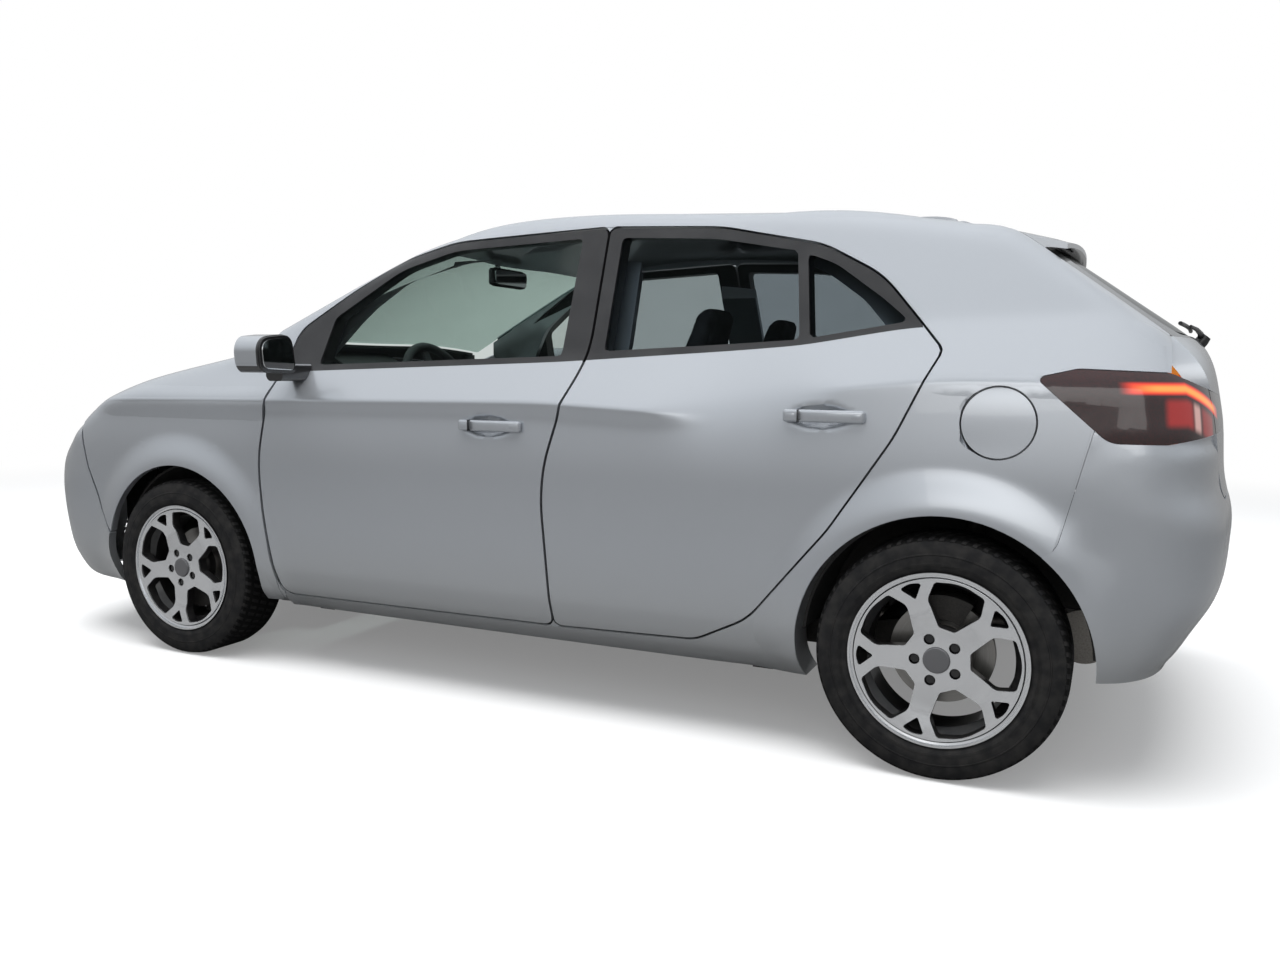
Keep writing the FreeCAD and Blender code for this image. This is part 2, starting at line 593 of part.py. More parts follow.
def spoiler(lift=0):
    """The roof's last stretch, a blade that overhangs the rear window; with a lift, the room it takes."""
    line = soft_line([(-1700, 1352, 0), (-1600, 1384, 30), (-1500, 1411, 60), (-1340, 1436, 0)])
    top, low = [], []
    for x in spread(-1645, TAILGATE_EDGE_X, 9):
        depth = 12 + 24 * ease((x + 1650) / 130)
        row = []
        for y in spread(-555, 555, 11):
            skin = hit(Vector(max(x, -1500), y, 600), Vector(0, 0, 1)).z
            skin += line(x) - line(max(x, -1500))
            row.append(Vector(x + 0.09 * y * y / 1000 * min((TAILGATE_EDGE_X - x) / 200, 1), y, skin))
        top.append(row)
        low.append([p - Vector(0, 0, depth) for p in row])
    if lift:
        return between([[p + Vector(0, 0, lift) for p in row] for row in top], low)
    return between(top, low).fuse(both_sides(tailgate_arm()))


def tailgate_arm():
    """A gooseneck from its pivot down under the roof's edge and up to the blade."""
    axis = tailgate_axis()
    x, z, y = axis.x, axis.z, TAILGATE_HINGE_Y
    blade = hit(Vector(x - 110, y, 600), Vector(0, 0, 1)).z - 20
    outline = [(x - 8, z + 6, 6), (x + 8, z + 6, 6), (x + 8, z - 76, 16), (x - 122, z - 76, 16), (x - 122, blade, 1),
               (x - 102, blade, 1), (x - 102, z - 60, 8), (x - 8, z - 60, 8)]
    arm = Part.Face(loop(outline, lambda a, b: Vector(a, y - 8, b))).extrude(Vector(0, 16, 0))
    return arm.cut(Part.makeCylinder(PIN_RADIUS + PIN_CLEARANCE, 20, axis + Vector(0, y - 10, 0), Vector(0, 1, 0)))


def tailgate_axis():
    top = hit(Vector(TAILGATE_HINGE_X, 0, 600), Vector(0, 0, 1)).z
    return Vector(TAILGATE_HINGE_X, 0, top - TAILGATE_HINGE_DROP)


def tailgate_shell(grow=0):
    wall = slab(tail_grid(700, -12, 100, 15, 24), TAILGATE_THICKNESS)
    wall = wall.common(end_prism(whole(TAILGATE_HALF), -2200, TAILGATE_EDGE_X, grow=grow - SHUT_GAP / 2))
    return wall.cut(end_prism(whole(REAR_WINDOW_HALF), -2200, -1200))


def tailgate():
    arm_room = box(-1440, -1280, TAILGATE_HINGE_Y - 15, TAILGATE_HINGE_Y + 15, 1250, 1600)
    return tailgate_shell().cut([spoiler(80), lamp_prism(0.3), box(-1640, -1300, -900, 900, 1385, 1600)] + both_sides(arm_room))


def tailgate_glass():
    wall = slab(tail_grid(640, 0, 90, 11, 14, 5), GLASS_THICKNESS)
    return wall.common(end_prism(whole(REAR_WINDOW_HALF), -2200, -1450)).cut(spoiler(80))


def lamp_prism(grow=0):
    left = side_prism(TAIL_LAMP, 380, 1100, grow)
    return Part.Compound([left, mirror(left)])


def lamp_wall():
    fan = [math.radians(a) for a in spread(-5, 88, 16)]
    grid = [[hit(Vector(-1500, 250, z), Vector(-math.cos(a), math.sin(a), 0)) for z in spread(830, 1045, 7)]
            for a in fan]
    return slab(grid, 30)


def tail_lamps():
    lens = lamp_wall().common(side_prism(TAIL_LAMP, 380, 1100))
    zone = end_prism(whole(TAILGATE_HALF), -2200, -1700, grow=SHUT_GAP / 2)
    return Part.Compound(both_sides(lens.cut(zone)))


def tailgate_lamps():
    inner = [(-1700, 1003, 10), (-1860, 1016, 40), (-2075, 950, 20), (-2075, 900, 30), (-1860, 855, 60),
             (-1740, 855, 60)]
    lens = lamp_wall().common(side_prism(TAIL_LAMP, 380, 1100))
    zone = end_prism(whole(TAILGATE_HALF), -2200, -1700, grow=-SHUT_GAP / 2)
    return Part.Compound(both_sides(lens.common(zone)))


def rear_bumper_zone(grow):
    outline = [(-1560, 290, 20), (-1560, 560, 10), (-1640, 600, 60), (-1712, 900, 20), (-2200, 900, 1),
               (-2200, 290, 1)]
    return side_prism(outline, -1000, 1000, grow)


def rear_bumper():
    wall = slab(end_grid(-1230, 285, 880, 74, 31, 14, -1), BUMPER_THICKNESS)
    wall = wall.common(rear_bumper_zone(0))
    zone = end_prism(whole(TAILGATE_HALF), -2200, -1600, grow=SHUT_GAP / 2)
    wall = wall.cut([zone, lamp_prism(1)])
    return wall.cut([wheel_arch(REAR_AXLE_X), mirror(wheel_arch(REAR_AXLE_X))])


GRILLE_PITCH = 27
GRILLE_BAR = 9
LOWER_GRILLE_HALF = [(360, 520, 40), (480, 300, 40), (430, 250, 30)]
UPPER_GRILLE_HALF = [(380, 745, 15), (400, 690, 15)]


def nose_wall(set_in, depth):
    grid = end_grid(1230, 205, 815, 74, 27, 13, 1)
    if set_in:
        grid = [[p - outward(p) * set_in for p in row] for row in grid]
    return slab(grid, depth)


def headlamp_prism(grow=0):
    front = end_prism([(440, 700, 30), (520, 660, 60), (1000, 640, 10), (1000, 900, 10), (760, 900, 10),
                       (430, 780, 30)], 1500, 2200, grow)
    side = side_prism([(1680, 885, 12), (1770, 792, 60), (1880, 700, 60), (2200, 640, 10), (2200, 812, 10),
                       (1930, 812, 10), (1800, 872, 60)], 380, 1100, grow)
    left = front.common(side)
    return left


def front_bumper():
    wall = nose_wall(0, BUMPER_THICKNESS)
    outline = [(1380, 210, 20), (1596, 480, 30), (1668, 640, 40), (1722, 836, 20), (2200, 836, 1), (2200, 210, 1)]
    wall = wall.common(side_prism(outline, -1000, 1000))
    wall = wall.cut([end_prism(whole(h), 1500, 2200) for h in (LOWER_GRILLE_HALF, UPPER_GRILLE_HALF)])
    wall = wall.cut(both_sides(headlamp_prism(1)) + [bonnet_zone(SHUT_GAP)])
    return wall.cut(both_sides(wheel_arch(FRONT_AXLE_X)))


def headlamps():
    wall = slab(end_grid(1300, 620, 905, 78, 31, 8, 1), 34)
    return Part.Compound(both_sides(wall.common(headlamp_prism()).cut(bonnet_zone(SHUT_GAP))))


def grille():
    """Slats and posts across both openings, let into the bumper."""
    wall = nose_wall(9, 16)
    grids = []
    for half in (LOWER_GRILLE_HALF, UPPER_GRILLE_HALF):
        screen = wall.common(end_prism(whole(half), 1500, 2200))
        low, high = min(p[1] for p in half), max(p[1] for p in half)
        rows = round((high - low) / GRILLE_PITCH)
        step = (high - low) / rows
        posts = spread(-480, 480, 5)
        cells = [box(1500, 2200, a + GRILLE_BAR / 2, b - GRILLE_BAR / 2, low + k * step + GRILLE_BAR / 2,
                     low + (k + 1) * step - GRILLE_BAR / 2)
                 for a, b in zip(posts, posts[1:]) for k in range(rows)]
        grids.append(screen.cut(cells))
    return Part.Compound(grids)


# Wheels

def spoke_place(angle, centre):
    """Turns a point of a spoke's plan (across, along) into space, the wheel seen from outside."""
    c, s = math.cos(angle), math.sin(angle)
    return lambda a, b: centre + Vector(-(b * c + a * s), 0, b * s - a * c)


def wheel_rim(phase):
    """Left wheel about the origin: barrel, forked spokes, lug pockets with bolts, plain cap and disc."""
    half = TYRE_WIDTH / 2 - 2.5
    lip = RIM_LIP_RADIUS
    seat = lip - 12.5
    barrel = turned([(lip, half), (lip, half - 4), (seat, half - 8), (seat, 60), (188, 45), (188, -45),
                     (seat, -60), (seat, 8 - half), (lip, 4 - half), (lip, -half), (lip - 6, -half),
                     (200, 10 - half), (199, -62), (181, -48), (181, 42), (199, 58), (lip - 8, half - 12),
                     (lip - 6, half)], Vector(0, 0, 0))
    star = turned([(0, 20), (66, 20), (72, 50), (130, 46), (203, 56), (206, 70), (206.5, 84), (204, 91),
                   (188, 90), (130, 78), (64, 86), (0, 86)], Vector(0, 0, 0))
    holes = []
    opening = [(-20, 80, 12), (20, 80, 12), (66, 136, 28), (62, 186, 12), (0, 203, 300), (-62, 186, 12),
               (-66, 136, 28)]
    pocket = [(0, 156, 4), (28, 192, 5), (0, 200, 100), (-28, 192, 5)]
    bolts = []
    for k in range(SPOKES):
        spoke = math.radians(phase) + 2 * math.pi * k / SPOKES
        gap = spoke + math.pi / SPOKES
        for outline, angle, floor in ((opening, gap, 0), (pocket, spoke, 0)):
            face = Part.Face(loop(outline, spoke_place(angle, Vector(0, floor, 0))))
            holes.append(face.extrude(Vector(0, 120, 0)))
        at = spoke_place(spoke, Vector(0, 66, 0))(0, LUG_CIRCLE_RADIUS)
        holes.append(Part.makeCylinder(LUG_RADIUS + 2.5, 40, at, Vector(0, 1, 0)))
        bolts.append(Part.makeCylinder(LUG_RADIUS - 1, 14, at - Vector(0, 1, 0), Vector(0, 1, 0)))
    cap = Part.makeCylinder(32, 8, Vector(0, 84, 0), Vector(0, 1, 0))
    cap = cap.makeFillet(3, [e for e in cap.Edges if e.CenterOfMass.y > 91])
    star = star.cut(holes).fuse(bolts + [cap])
    rim = barrel.fuse(star)
    bore = Part.makeCylinder(28 + PIN_CLEARANCE, 60, Vector(0, -41, 0), Vector(0, 1, 0))
    disc = turned([(0, -DISC_THICKNESS - 3), (DISC_RADIUS, -DISC_THICKNESS - 3), (DISC_RADIUS, -3), (72, -3),
                   (66, 20), (0, 20)], Vector(0, 0, 0))
    return Part.Compound([rim.cut(bore), disc.cut(bore)])


def tyre():
    half = TYRE_WIDTH / 2
    bead = RIM_LIP_RADIUS - 12
    side = [(bead, half - 14), (RIM_LIP_RADIUS - 4, half - 10), (RIM_LIP_RADIUS + 1, half - 8),
            (RIM_LIP_RADIUS + 9, half - 2), (bead + 48, half),
            (TYRE_RADIUS - 18, half - 5), (TYRE_RADIUS - 5, half - 15), (TYRE_RADIUS, half - 34)]
    return turned(side + [(r, -y) for r, y in reversed(side)], Vector(0, 0, 0))


def placed(shape, centre, side):
    """A left wheel's part set at a wheel's centre, mirrored on the right side."""
    copy = shape.copy() if side > 0 else mirror(shape)
    copy.translate(centre)
    return copy


STEER_Y = WHEEL_Y - 33
CROSS_BAR_TOP = 242
STRUT_TOP = 540
LINER_THICKNESS = 8


def caliper(angle):
    """A block that grips the disc's edge, about the wheel's centre."""
    inner, outer = -DISC_THICKNESS - 3 - 26, 20
    ring = turned([(DISC_RADIUS - 42, inner), (DISC_RADIUS + 20, inner), (DISC_RADIUS + 20, outer),
                   (DISC_RADIUS - 42, outer)], Vector(0, 0, 0))
    slot = turned([(0, -DISC_THICKNESS - 3 - BRAKE_GAP), (DISC_RADIUS + BRAKE_GAP, -DISC_THICKNESS - 3 - BRAKE_GAP),
                   (DISC_RADIUS + BRAKE_GAP, BRAKE_GAP - 3), (0, BRAKE_GAP - 3)], Vector(0, 0, 0))
    wedge = Part.makeCylinder(200, 200, Vector(0, -100, 0), Vector(0, 1, 0), 55)
    wedge.rotate(Vector(0, 0, 0), Vector(0, 1, 0), angle)
    return ring.cut(slot).common(wedge)


def hub(inner_y):
    """The spigot that the wheel turns on, with the flange behind the disc."""
    back = -DISC_THICKNESS - 3 - 8
    spigot = Part.makeCylinder(28, 19 - inner_y, Vector(0, inner_y, 0), Vector(0, 1, 0))
    return spigot.fuse(Part.makeCylinder(48, back - inner_y, Vector(0, inner_y, 0), Vector(0, 1, 0)))


def knuckle():
    """Left front upright about the wheel's centre: hub, ball joint boss, strut and caliper."""
    back = -DISC_THICKNESS - 3 - 8
    low = -(DISC_RADIUS + 26)
    body = hub(back - 26)
    plate = loop([(-45, 60, 20), (45, 60, 20), (30, low, 10), (-30, low, 10)], lambda a, b: Vector(a, back - 26, b))
    body = body.fuse(Part.Face(plate).extrude(Vector(0, 22, 0)))
    steer = STEER_Y - WHEEL_Y
    boss = box(-22, 22, back - 26, steer + 16, low, low + 16)
    pin = rod(Vector(0, steer, low - 20), Vector(0, steer, low + 2), 8)
    neck = box(-24, 24, -150, back - 6, 30, 60)
    strut = rod(Vector(0, -128, 40), Vector(0, -128, STRUT_TOP - 70), 26).fuse(
        rod(Vector(0, -128, 330), Vector(0, -128, STRUT_TOP), 46))
    return body.fuse([boss, pin, neck, strut, caliper(150)])


def front_subframe():
    x, z = FRONT_AXLE_X, AXLE_HEIGHT - DISC_RADIUS - 26
    cradle = box(x - 190, x + 60, -400, 400, z - 22, z + 22).cut(box(x - 130, x - 10, -300, 300, z - 30, z + 30))
    arms = []
    for side in (1, -1):
        ball = Vector(x, side * STEER_Y, z - 18)
        points = [(x - 18, STEER_Y + 10, 12), (x + 18, STEER_Y + 10, 12), (x + 50, 380, 20), (x - 100, 380, 20)]
        arm = Part.Face(loop([(a, side * b, r) for a, b, r in points],
                             lambda a, b: Vector(a, b, z - 18))).extrude(Vector(0, 0, 14))
        hole = Part.makeCylinder(8 + PIN_CLEARANCE, 60, ball - Vector(0, 0, 10), Vector(0, 0, 1))
        arms.append(arm.cut(hole))
    bar = box(x + 60, x + 640, -360, -320, z + 10, z + 60)
    rails = [bar, mirror(bar), box(x + 640, x + 690, -460, 460, z + 10, CROSS_BAR_TOP)]
    posts = [box(x - 150, x - 100, side * 370 - 25, side * 370 + 25, z + 20, 480) for side in (1, -1)]
    return cradle.fuse(arms + rails + posts)


def rear_axle():
    """Twist beam: a cross beam, two trailing arms and the stub hubs with their calipers."""
    x, z = REAR_AXLE_X, AXLE_HEIGHT
    beam = Part.makeCylinder(34, 1180, Vector(x + 190, -590, z - 20), Vector(0, 1, 0))
    parts = []
    for side in (1, -1):
        arm = [(x + 470, z - 60, 30), (x + 470, z + 13.7, 30), (x + 250, z + 12, 60), (x + 90, z + 45, 60),
               (x - 45, z + 45, 30),
               (x - 45, z - 40, 30), (x + 150, z - 55, 60)]
        plate = Part.Face(loop(arm, lambda a, b: Vector(a, side * 590 - 25, b))).extrude(Vector(0, 50, 0))
        parts.append(plate)
        stub = placed(hub(-165).fuse(caliper(-30)), Vector(x, side * WHEEL_Y, z), side)
        bridge = box(x - 40, x + 40, side * 600 - 25, side * 600 + 60 if side > 0 else side * 600 + 25,
                     z - 60, z + 60)
        link = Part.makeCylinder(DISC_RADIUS - 20, 32, Vector(x, side * (WHEEL_Y - 66), z),
                                 Vector(0, side, 0))
        damper = rod(Vector(x - 60, side * 560, z + 20), Vector(x - 40, side * 560, 648), 24)
        parts += [stub, bridge, link, damper]
    return beam.fuse(parts)


# The shell under and inside the car

FLOOR_TOP = 205
CABIN_HALF = 655
JACK_FRONT_X = 700
JACK_REAR_X = -880
JACK_Y = 660
JACK_DROP = 10


SEAT_FLOOR_X = -860
BOOT_FLOOR_X = -1100
BOOT_FLOOR_Z = 450
BENCH_Z = 330
BODY_REAR_X = -1890


def floor_pan():
    """Low floor with its tunnel, the step under the bench, the boot floor, bulkheads and arch liners."""
    low = FLOOR_TOP - FLOOR_THICKNESS
    pan = box(SEAT_FLOOR_X, 850, -690, 690, low, FLOOR_TOP)
    pads = [box(x - 30, x + 30, side * JACK_Y - 22, side * JACK_Y + 22, low - JACK_DROP, low + 1)
            for x in (JACK_FRONT_X, JACK_REAR_X) for side in (1, -1)]
    channel = box(SEAT_FLOOR_X - 20, 860, -130, 130, low - 1, 310)
    tunnel = box(SEAT_FLOOR_X, 850, -150, 150, low, 330)
    heel = box(SEAT_FLOOR_X - 12, SEAT_FLOOR_X, -CABIN_HALF, CABIN_HALF, low, BENCH_Z - 0.3)
    bench_floor = box(BOOT_FLOOR_X, SEAT_FLOOR_X, -CABIN_HALF, CABIN_HALF, BENCH_Z - 8, BENCH_Z - 0.3)
    riser = box(BOOT_FLOOR_X - 12, BOOT_FLOOR_X, -CABIN_HALF, CABIN_HALF, BENCH_Z - 8, BOOT_FLOOR_Z)
    boot = box(BODY_REAR_X, BOOT_FLOOR_X, -CABIN_HALF + 135, CABIN_HALF - 135, BOOT_FLOOR_Z - 20, BOOT_FLOOR_Z)
    back = box(BODY_REAR_X, BODY_REAR_X + 12, -520, 520, BOOT_FLOOR_Z - 120, 690)
    tank = box(BOOT_FLOOR_X, SEAT_FLOOR_X - 11, -480, 10, 200, BENCH_Z - 8)
    dash = box(838, 850, -CABIN_HALF, CABIN_HALF, low, 930)
    solid = pan.fuse(pads + [tunnel, heel, dash]).cut(channel).fuse([bench_floor, riser, boot, back, tank])
    for axle, inner in ((FRONT_AXLE_X, 470), (REAR_AXLE_X, 520)):
        drum = Part.makeCylinder(ARCH_RADIUS, 400, Vector(axle, inner, AXLE_HEIGHT), Vector(0, 1, 0))
        hollow = Part.makeCylinder(ARCH_RADIUS - LINER_THICKNESS, 400, Vector(axle, inner, AXLE_HEIGHT), Vector(0, 1, 0))
        foot = 334 if axle == REAR_AXLE_X else 300
        liner = drum.cut(hollow).common(box(axle - 400, axle + 400, 0, 790, foot, 900))
        if axle == REAR_AXLE_X:
            side = Part.makeCylinder(ARCH_RADIUS, LINER_THICKNESS, Vector(axle, inner, AXLE_HEIGHT), Vector(0, 1, 0))
            liner = liner.fuse(side.common(box(axle - 400, axle + 400, 0, 900, AXLE_HEIGHT + 90, 900)))
        else:
            liner = liner.fuse(strut_tower(FLOOR_TOP)).cut(strut_tower(0))
        solid = solid.cut(both_sides(drum)).fuse(both_sides(liner))
    return solid


def strut_tower(walls):
    """The box over the front strut: its outside when it has walls, else the room in it."""
    x, top, half, inner, outer = FRONT_AXLE_X, AXLE_HEIGHT + STRUT_TOP + 0.5, 125, 520, 722
    if walls:
        return box(x - half - 10, x + half + 10, inner - 10, outer + 10, 638, top + 14)
    return box(x - half, x + half, inner, outer, 500, top)


def profile_bar(points, y0, y1):
    """An outline in the side view as a bar across the car between two y."""
    return Part.Face(loop(points, lambda a, b: Vector(a, y0, b))).extrude(Vector(0, y1 - y0, 0))


STEERING_CENTRE = Vector(440, 360, 925)
STEERING_AXIS = Vector(0.9, 0, -0.42)


def dashboard():
    front = 837.7
    top = profile_bar([(front, 640, 20), (front, 985, 30), (700, 975, 60), (560, 900, 40), (575, 760, 60),
                       (640, 640, 40)], -640, 640)
    console = profile_bar([(front, 331, 10), (front, 660, 10), (620, 650, 60), (500, 520, 60), (-150, 470, 40),
                           (-150, 331, 10)], -110, 110)
    hood = profile_bar([(720, 960, 20), (700, 1010, 30), (560, 1000, 30), (545, 900, 20)], 220, 500)
    axis = Vector(STEERING_AXIS).normalize()
    column_room = Part.makeCylinder(30 + PIN_CLEARANCE, 400, STEERING_CENTRE, axis)
    return top.fuse([console, hood]).cut(column_room)


def steering_wheel():
    axis = Vector(STEERING_AXIS).normalize()
    ring = Part.makeTorus(178, 15, STEERING_CENTRE, axis)
    boss = Part.makeCylinder(62, 46, STEERING_CENTRE - axis * 10, axis)
    column = Part.makeCylinder(30, 190, STEERING_CENTRE + axis * 20, axis)
    spokes = []
    for turn in (90, -90, 180):
        bar = box(30, 172, -16, 16, -6, 6)
        bar.rotate(Vector(0, 0, 0), Vector(0, 0, 1), turn)
        bar.rotate(Vector(0, 0, 0), Vector(0, 1, 0), math.degrees(math.atan2(axis.x, axis.z)))
        bar.translate(STEERING_CENTRE + axis * 6)
        spokes.append(bar)
    return ring.fuse([boss, column] + spokes)


def seat(y, width):
    half = width / 2
    base = profile_bar([(200, 340, 40), (220, 450, 50), (-300, 420, 60), (-330, 338, 60)], y - half, y + half)
    back = profile_bar([(-220, 370, 20), (-350, 380, 20), (-610, 1010, 40), (-500, 1040, 50)], y - half + 10,
                       y + half - 10)
    head = profile_bar([(-515, 1050, 30), (-600, 1030, 30), (-645, 1190, 40), (-560, 1210, 40)], y - 130, y + 130)
    posts = [rod(Vector(-555, y + s * 70, 1000), Vector(-585, y + s * 70, 1090), 7) for s in (1, -1)]
    rails = [box(-280, 180, y + s * 190 - 20, y + s * 190 + 20, FLOOR_TOP + 0.3, 344) for s in (1, -1)]
    return base.fuse([back, head] + posts + rails)


def front_seats():
    return Part.Compound(both_sides(seat(360, 500)))


def rear_bench():
    base = profile_bar([(-560, BENCH_Z, 40), (-560, 470, 50), (-1005, 470, 60), (-1005, BENCH_Z, 10)], -600, 600)
    back = profile_bar([(-950, 435, 10), (-1097, 435, 1), (-1097, BOOT_FLOOR_Z + 0.3, 1), (-1128, BOOT_FLOOR_Z + 0.3, 8),
                        (-1260, 960, 50), (-1140, 985, 50)], -500, 500)
    heads = [profile_bar([(-1165, 970, 10), (-1235, 970, 10), (-1270, 1080, 30), (-1190, 1090, 30)],
                         y - 110, y + 110) for y in (-340, 340)]
    return base.fuse([back] + heads)


def engine():
    block = box(FRONT_AXLE_X - 190, FRONT_AXLE_X + 330, -300, 300, AXLE_HEIGHT - 90, 820)
    lugs = [box(FRONT_AXLE_X - 150, FRONT_AXLE_X - 100, side * 322 - 22.7, side * 322 + 22.7, 400, 440)
            for side in (1, -1)]
    core = box(FRONT_AXLE_X + 642, FRONT_AXLE_X + 682, -330, 330, CROSS_BAR_TOP + 0.3, 700)
    return Part.Compound([block.fuse(lugs), core])


PIPE_Z = 224
PIPE_Y = 60
SILENCER_X = -1700


def exhaust():
    """Pipe down the tunnel, cross-mounted silencer on two hangers, and a tail pipe on the right."""
    front = rod(Vector(960, PIPE_Y, PIPE_Z), Vector(-1250, PIPE_Y, PIPE_Z), 26)
    rise = rod(Vector(-1250, PIPE_Y, PIPE_Z), Vector(SILENCER_X, PIPE_Y, 258), 26)
    joint = Part.makeSphere(26, Vector(-1250, PIPE_Y, PIPE_Z))
    drum = Part.makeCylinder(78, 560, Vector(SILENCER_X, -300, 262), Vector(0, 1, 0))
    tail = rod(Vector(SILENCER_X, -250, 245), Vector(-1960, -430, 258), 21)
    hangers = [rod(Vector(SILENCER_X, y, 300), Vector(SILENCER_X, y, BOOT_FLOOR_Z - 20.3), 5) for y in (-250, 200)]
    return front.fuse([rise, joint, drum, tail] + hangers)


COWL_HALF = 625


def cowl():
    wall = slab(top_grid(880, 1230, 700, 7, 13, 16), Vector(0, 0, -10))
    outline = [(1105, 0, 1100), (965, 655, 10), (930, 690, 10), (1010, 700, 10), (1090, 560, 200), (1230, 0, 700)]
    half = outline + [(x, -y, r) for x, y, r in reversed(outline[1:-1])]
    plate = profile_bar([(838.5, 930 + SEAM, 1), (849.5, 930 + SEAM, 1), (1132, 1060, 1), (1128, 1072, 1)], -190, 190)
    wall = wall.common(plan_prism(half, 900, 1300)).common(box(800, 1300, -COWL_HALF, COWL_HALF, 900, 1300))
    shelf = box(905, 1000, 598, 660, 1005, 1030).fuse(box(960, 1000, 598, 624, 1005, 1072))
    return wall.fuse([plate] + both_sides(shelf)).cut(bonnet_zone(SHUT_GAP))


def mirror_shell(door_solid):
    """Left door mirror: domed housing on its foot, flat where its glass faces back."""
    housing = end_prism([(872, 988, 18), (1024, 992, 34), (1032, 1100, 48), (892, 1116, 44)], 640, 760)
    housing = housing.common(Part.makeSphere(165, Vector(592, 950, 1050)))
    skin = hit(Vector(672, 0, 985), Vector(0, 1, 0)).y
    foot = profile_bar([(640, 965, 15), (715, 965, 20), (705, 1020, 20), (645, 1020, 15)], skin - 40, 925)
    return housing.fuse(foot).cut(door_solid)


NODES = {}


def add_pair(name, shape, left="left", right="right"):
    NODES[f"{name}_{left}"] = shape
    NODES[f"{name}_{right}"] = mirror(shape)


def build():
    NODES["floor_pan"] = floor_pan()
    frame = side_frame()
    NODES["side_frames"] = Part.Compound([quarter_with_flap(frame), mirror(frame)])
    NODES["fenders"] = Part.Compound(both_sides(fender()))
    NODES["roof"] = roof()
    NODES["windscreen"] = windscreen()
    NODES["cowl"] = cowl()
    NODES["front_bumper"] = front_bumper()
    NODES["grille"] = grille()
    NODES["headlamps"] = headlamps()
    NODES["rear_bumper"] = rear_bumper()
    NODES["tail_lamps"] = tail_lamps()
    NODES["dashboard"] = dashboard()
    NODES["steering_wheel"] = steering_wheel()
    NODES["front_seats"] = front_seats()
    NODES["rear_bench"] = rear_bench()
    NODES["engine"] = engine()
    NODES["front_subframe"] = front_subframe()
    NODES["rear_axle"] = rear_axle()
    NODES["exhaust"] = exhaust()
    NODES["bonnet"] = bonnet()
    NODES["tailgate"] = tailgate()
    NODES["tailgate_glass"] = tailgate_glass()
    NODES["spoiler"] = spoiler()
    NODES["tailgate_lamps"] = tailgate_lamps()
    front = door(FRONT_DOOR, [FRONT_WINDOW], FRONT_HINGE, 824, (-400, 860), -92, 845)
    rear = door(REAR_DOOR, [REAR_WINDOW, QUARTER_WINDOW], REAR_HINGE, -256, (-1390, -220), -1080, 900)
    add_pair("door_front", front)
    add_pair("door_rear", rear)
    add_pair("glass_front", Part.Compound(side_glass([FRONT_WINDOW], -400, 760)))
    add_pair("glass_rear", Part.Compound(side_glass([REAR_WINDOW, QUARTER_WINDOW], -1390, -300)))
    add_pair("mirror", mirror_shell(front))
    NODES["fuel_flap"] = fuel_flap()
    upright = knuckle()
    for side, name in ((1, "left"), (-1, "right")):
        NODES[f"knuckle_{name}"] = placed(upright, Vector(FRONT_AXLE_X, side * WHEEL_Y, AXLE_HEIGHT), side)
        for end, x, phase in (("front", FRONT_AXLE_X, 45), ("rear", REAR_AXLE_X, 39)):
            centre = Vector(x, side * WHEEL_Y, AXLE_HEIGHT)
            NODES[f"rim_{end}_{name}"] = placed(wheel_rim(phase), centre, side)
            NODES[f"tyre_{end}_{name}"] = placed(tyre(), centre, side)


build()
os.makedirs("parts", exist_ok=True)
for name, shape in NODES.items():
    shape.exportStep(f"parts/{name}.step")
    print(name, len(shape.Solids), shape.isValid(), round(shape.Volume / 1e6, 2))
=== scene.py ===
# %% [markdown]
# # A silver hatchback car
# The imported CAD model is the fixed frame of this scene: every body, hinge and wheel is already in its
# place. This lesson dresses it. It starts with the frame, the camera and the finishes. Then come the pieces
# that a CAD model is too coarse for: smooth painted panels, handles, seats, mirrors and trim. The light
# comes last.

# %% Load the frame
import math

import bmesh
import bpy
import numpy as np
from mathutils import Matrix, Vector
from mathutils.geometry import delaunay_2d_cdt


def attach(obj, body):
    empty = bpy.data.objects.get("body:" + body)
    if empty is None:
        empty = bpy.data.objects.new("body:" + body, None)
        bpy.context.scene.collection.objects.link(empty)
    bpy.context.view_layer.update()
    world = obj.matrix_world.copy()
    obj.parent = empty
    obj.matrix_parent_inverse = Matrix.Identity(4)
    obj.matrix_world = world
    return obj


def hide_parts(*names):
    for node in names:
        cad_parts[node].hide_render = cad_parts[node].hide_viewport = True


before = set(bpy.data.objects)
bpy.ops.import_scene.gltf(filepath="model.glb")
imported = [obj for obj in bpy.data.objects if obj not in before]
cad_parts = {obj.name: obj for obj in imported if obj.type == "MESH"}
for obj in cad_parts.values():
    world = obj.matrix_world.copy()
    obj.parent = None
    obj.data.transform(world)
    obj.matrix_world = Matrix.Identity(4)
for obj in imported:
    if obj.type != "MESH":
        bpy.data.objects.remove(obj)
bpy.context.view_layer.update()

# %% [markdown]
# The camera stands beside the car's left rear corner, at the photograph's angle. It is given as a place,
# three angles and a focal length, and its axes are worked out from them, so nothing depends on the render's
# size.

# %% The camera
CAMERA_PLACE = Vector((-1.745, 3.408, 1.013))
CAMERA_YAW = 0.4311
CAMERA_PITCH = 0.1073
CAMERA_ROLL = 0.0098
CAMERA_LENS = 28.865


def camera_axes(yaw, pitch, roll):
    ahead = Vector((math.sin(yaw) * math.cos(pitch), -math.cos(yaw) * math.cos(pitch), -math.sin(pitch)))
    right = ahead.cross(Vector((0, 0, 1))).normalized()
    up = right.cross(ahead)
    sine, cosine = math.sin(roll), math.cos(roll)
    return cosine * right + sine * up, -sine * right + cosine * up, ahead


def add_object(name, data):
    made = bpy.data.objects.new(name, data)
    bpy.context.scene.collection.objects.link(made)
    return made


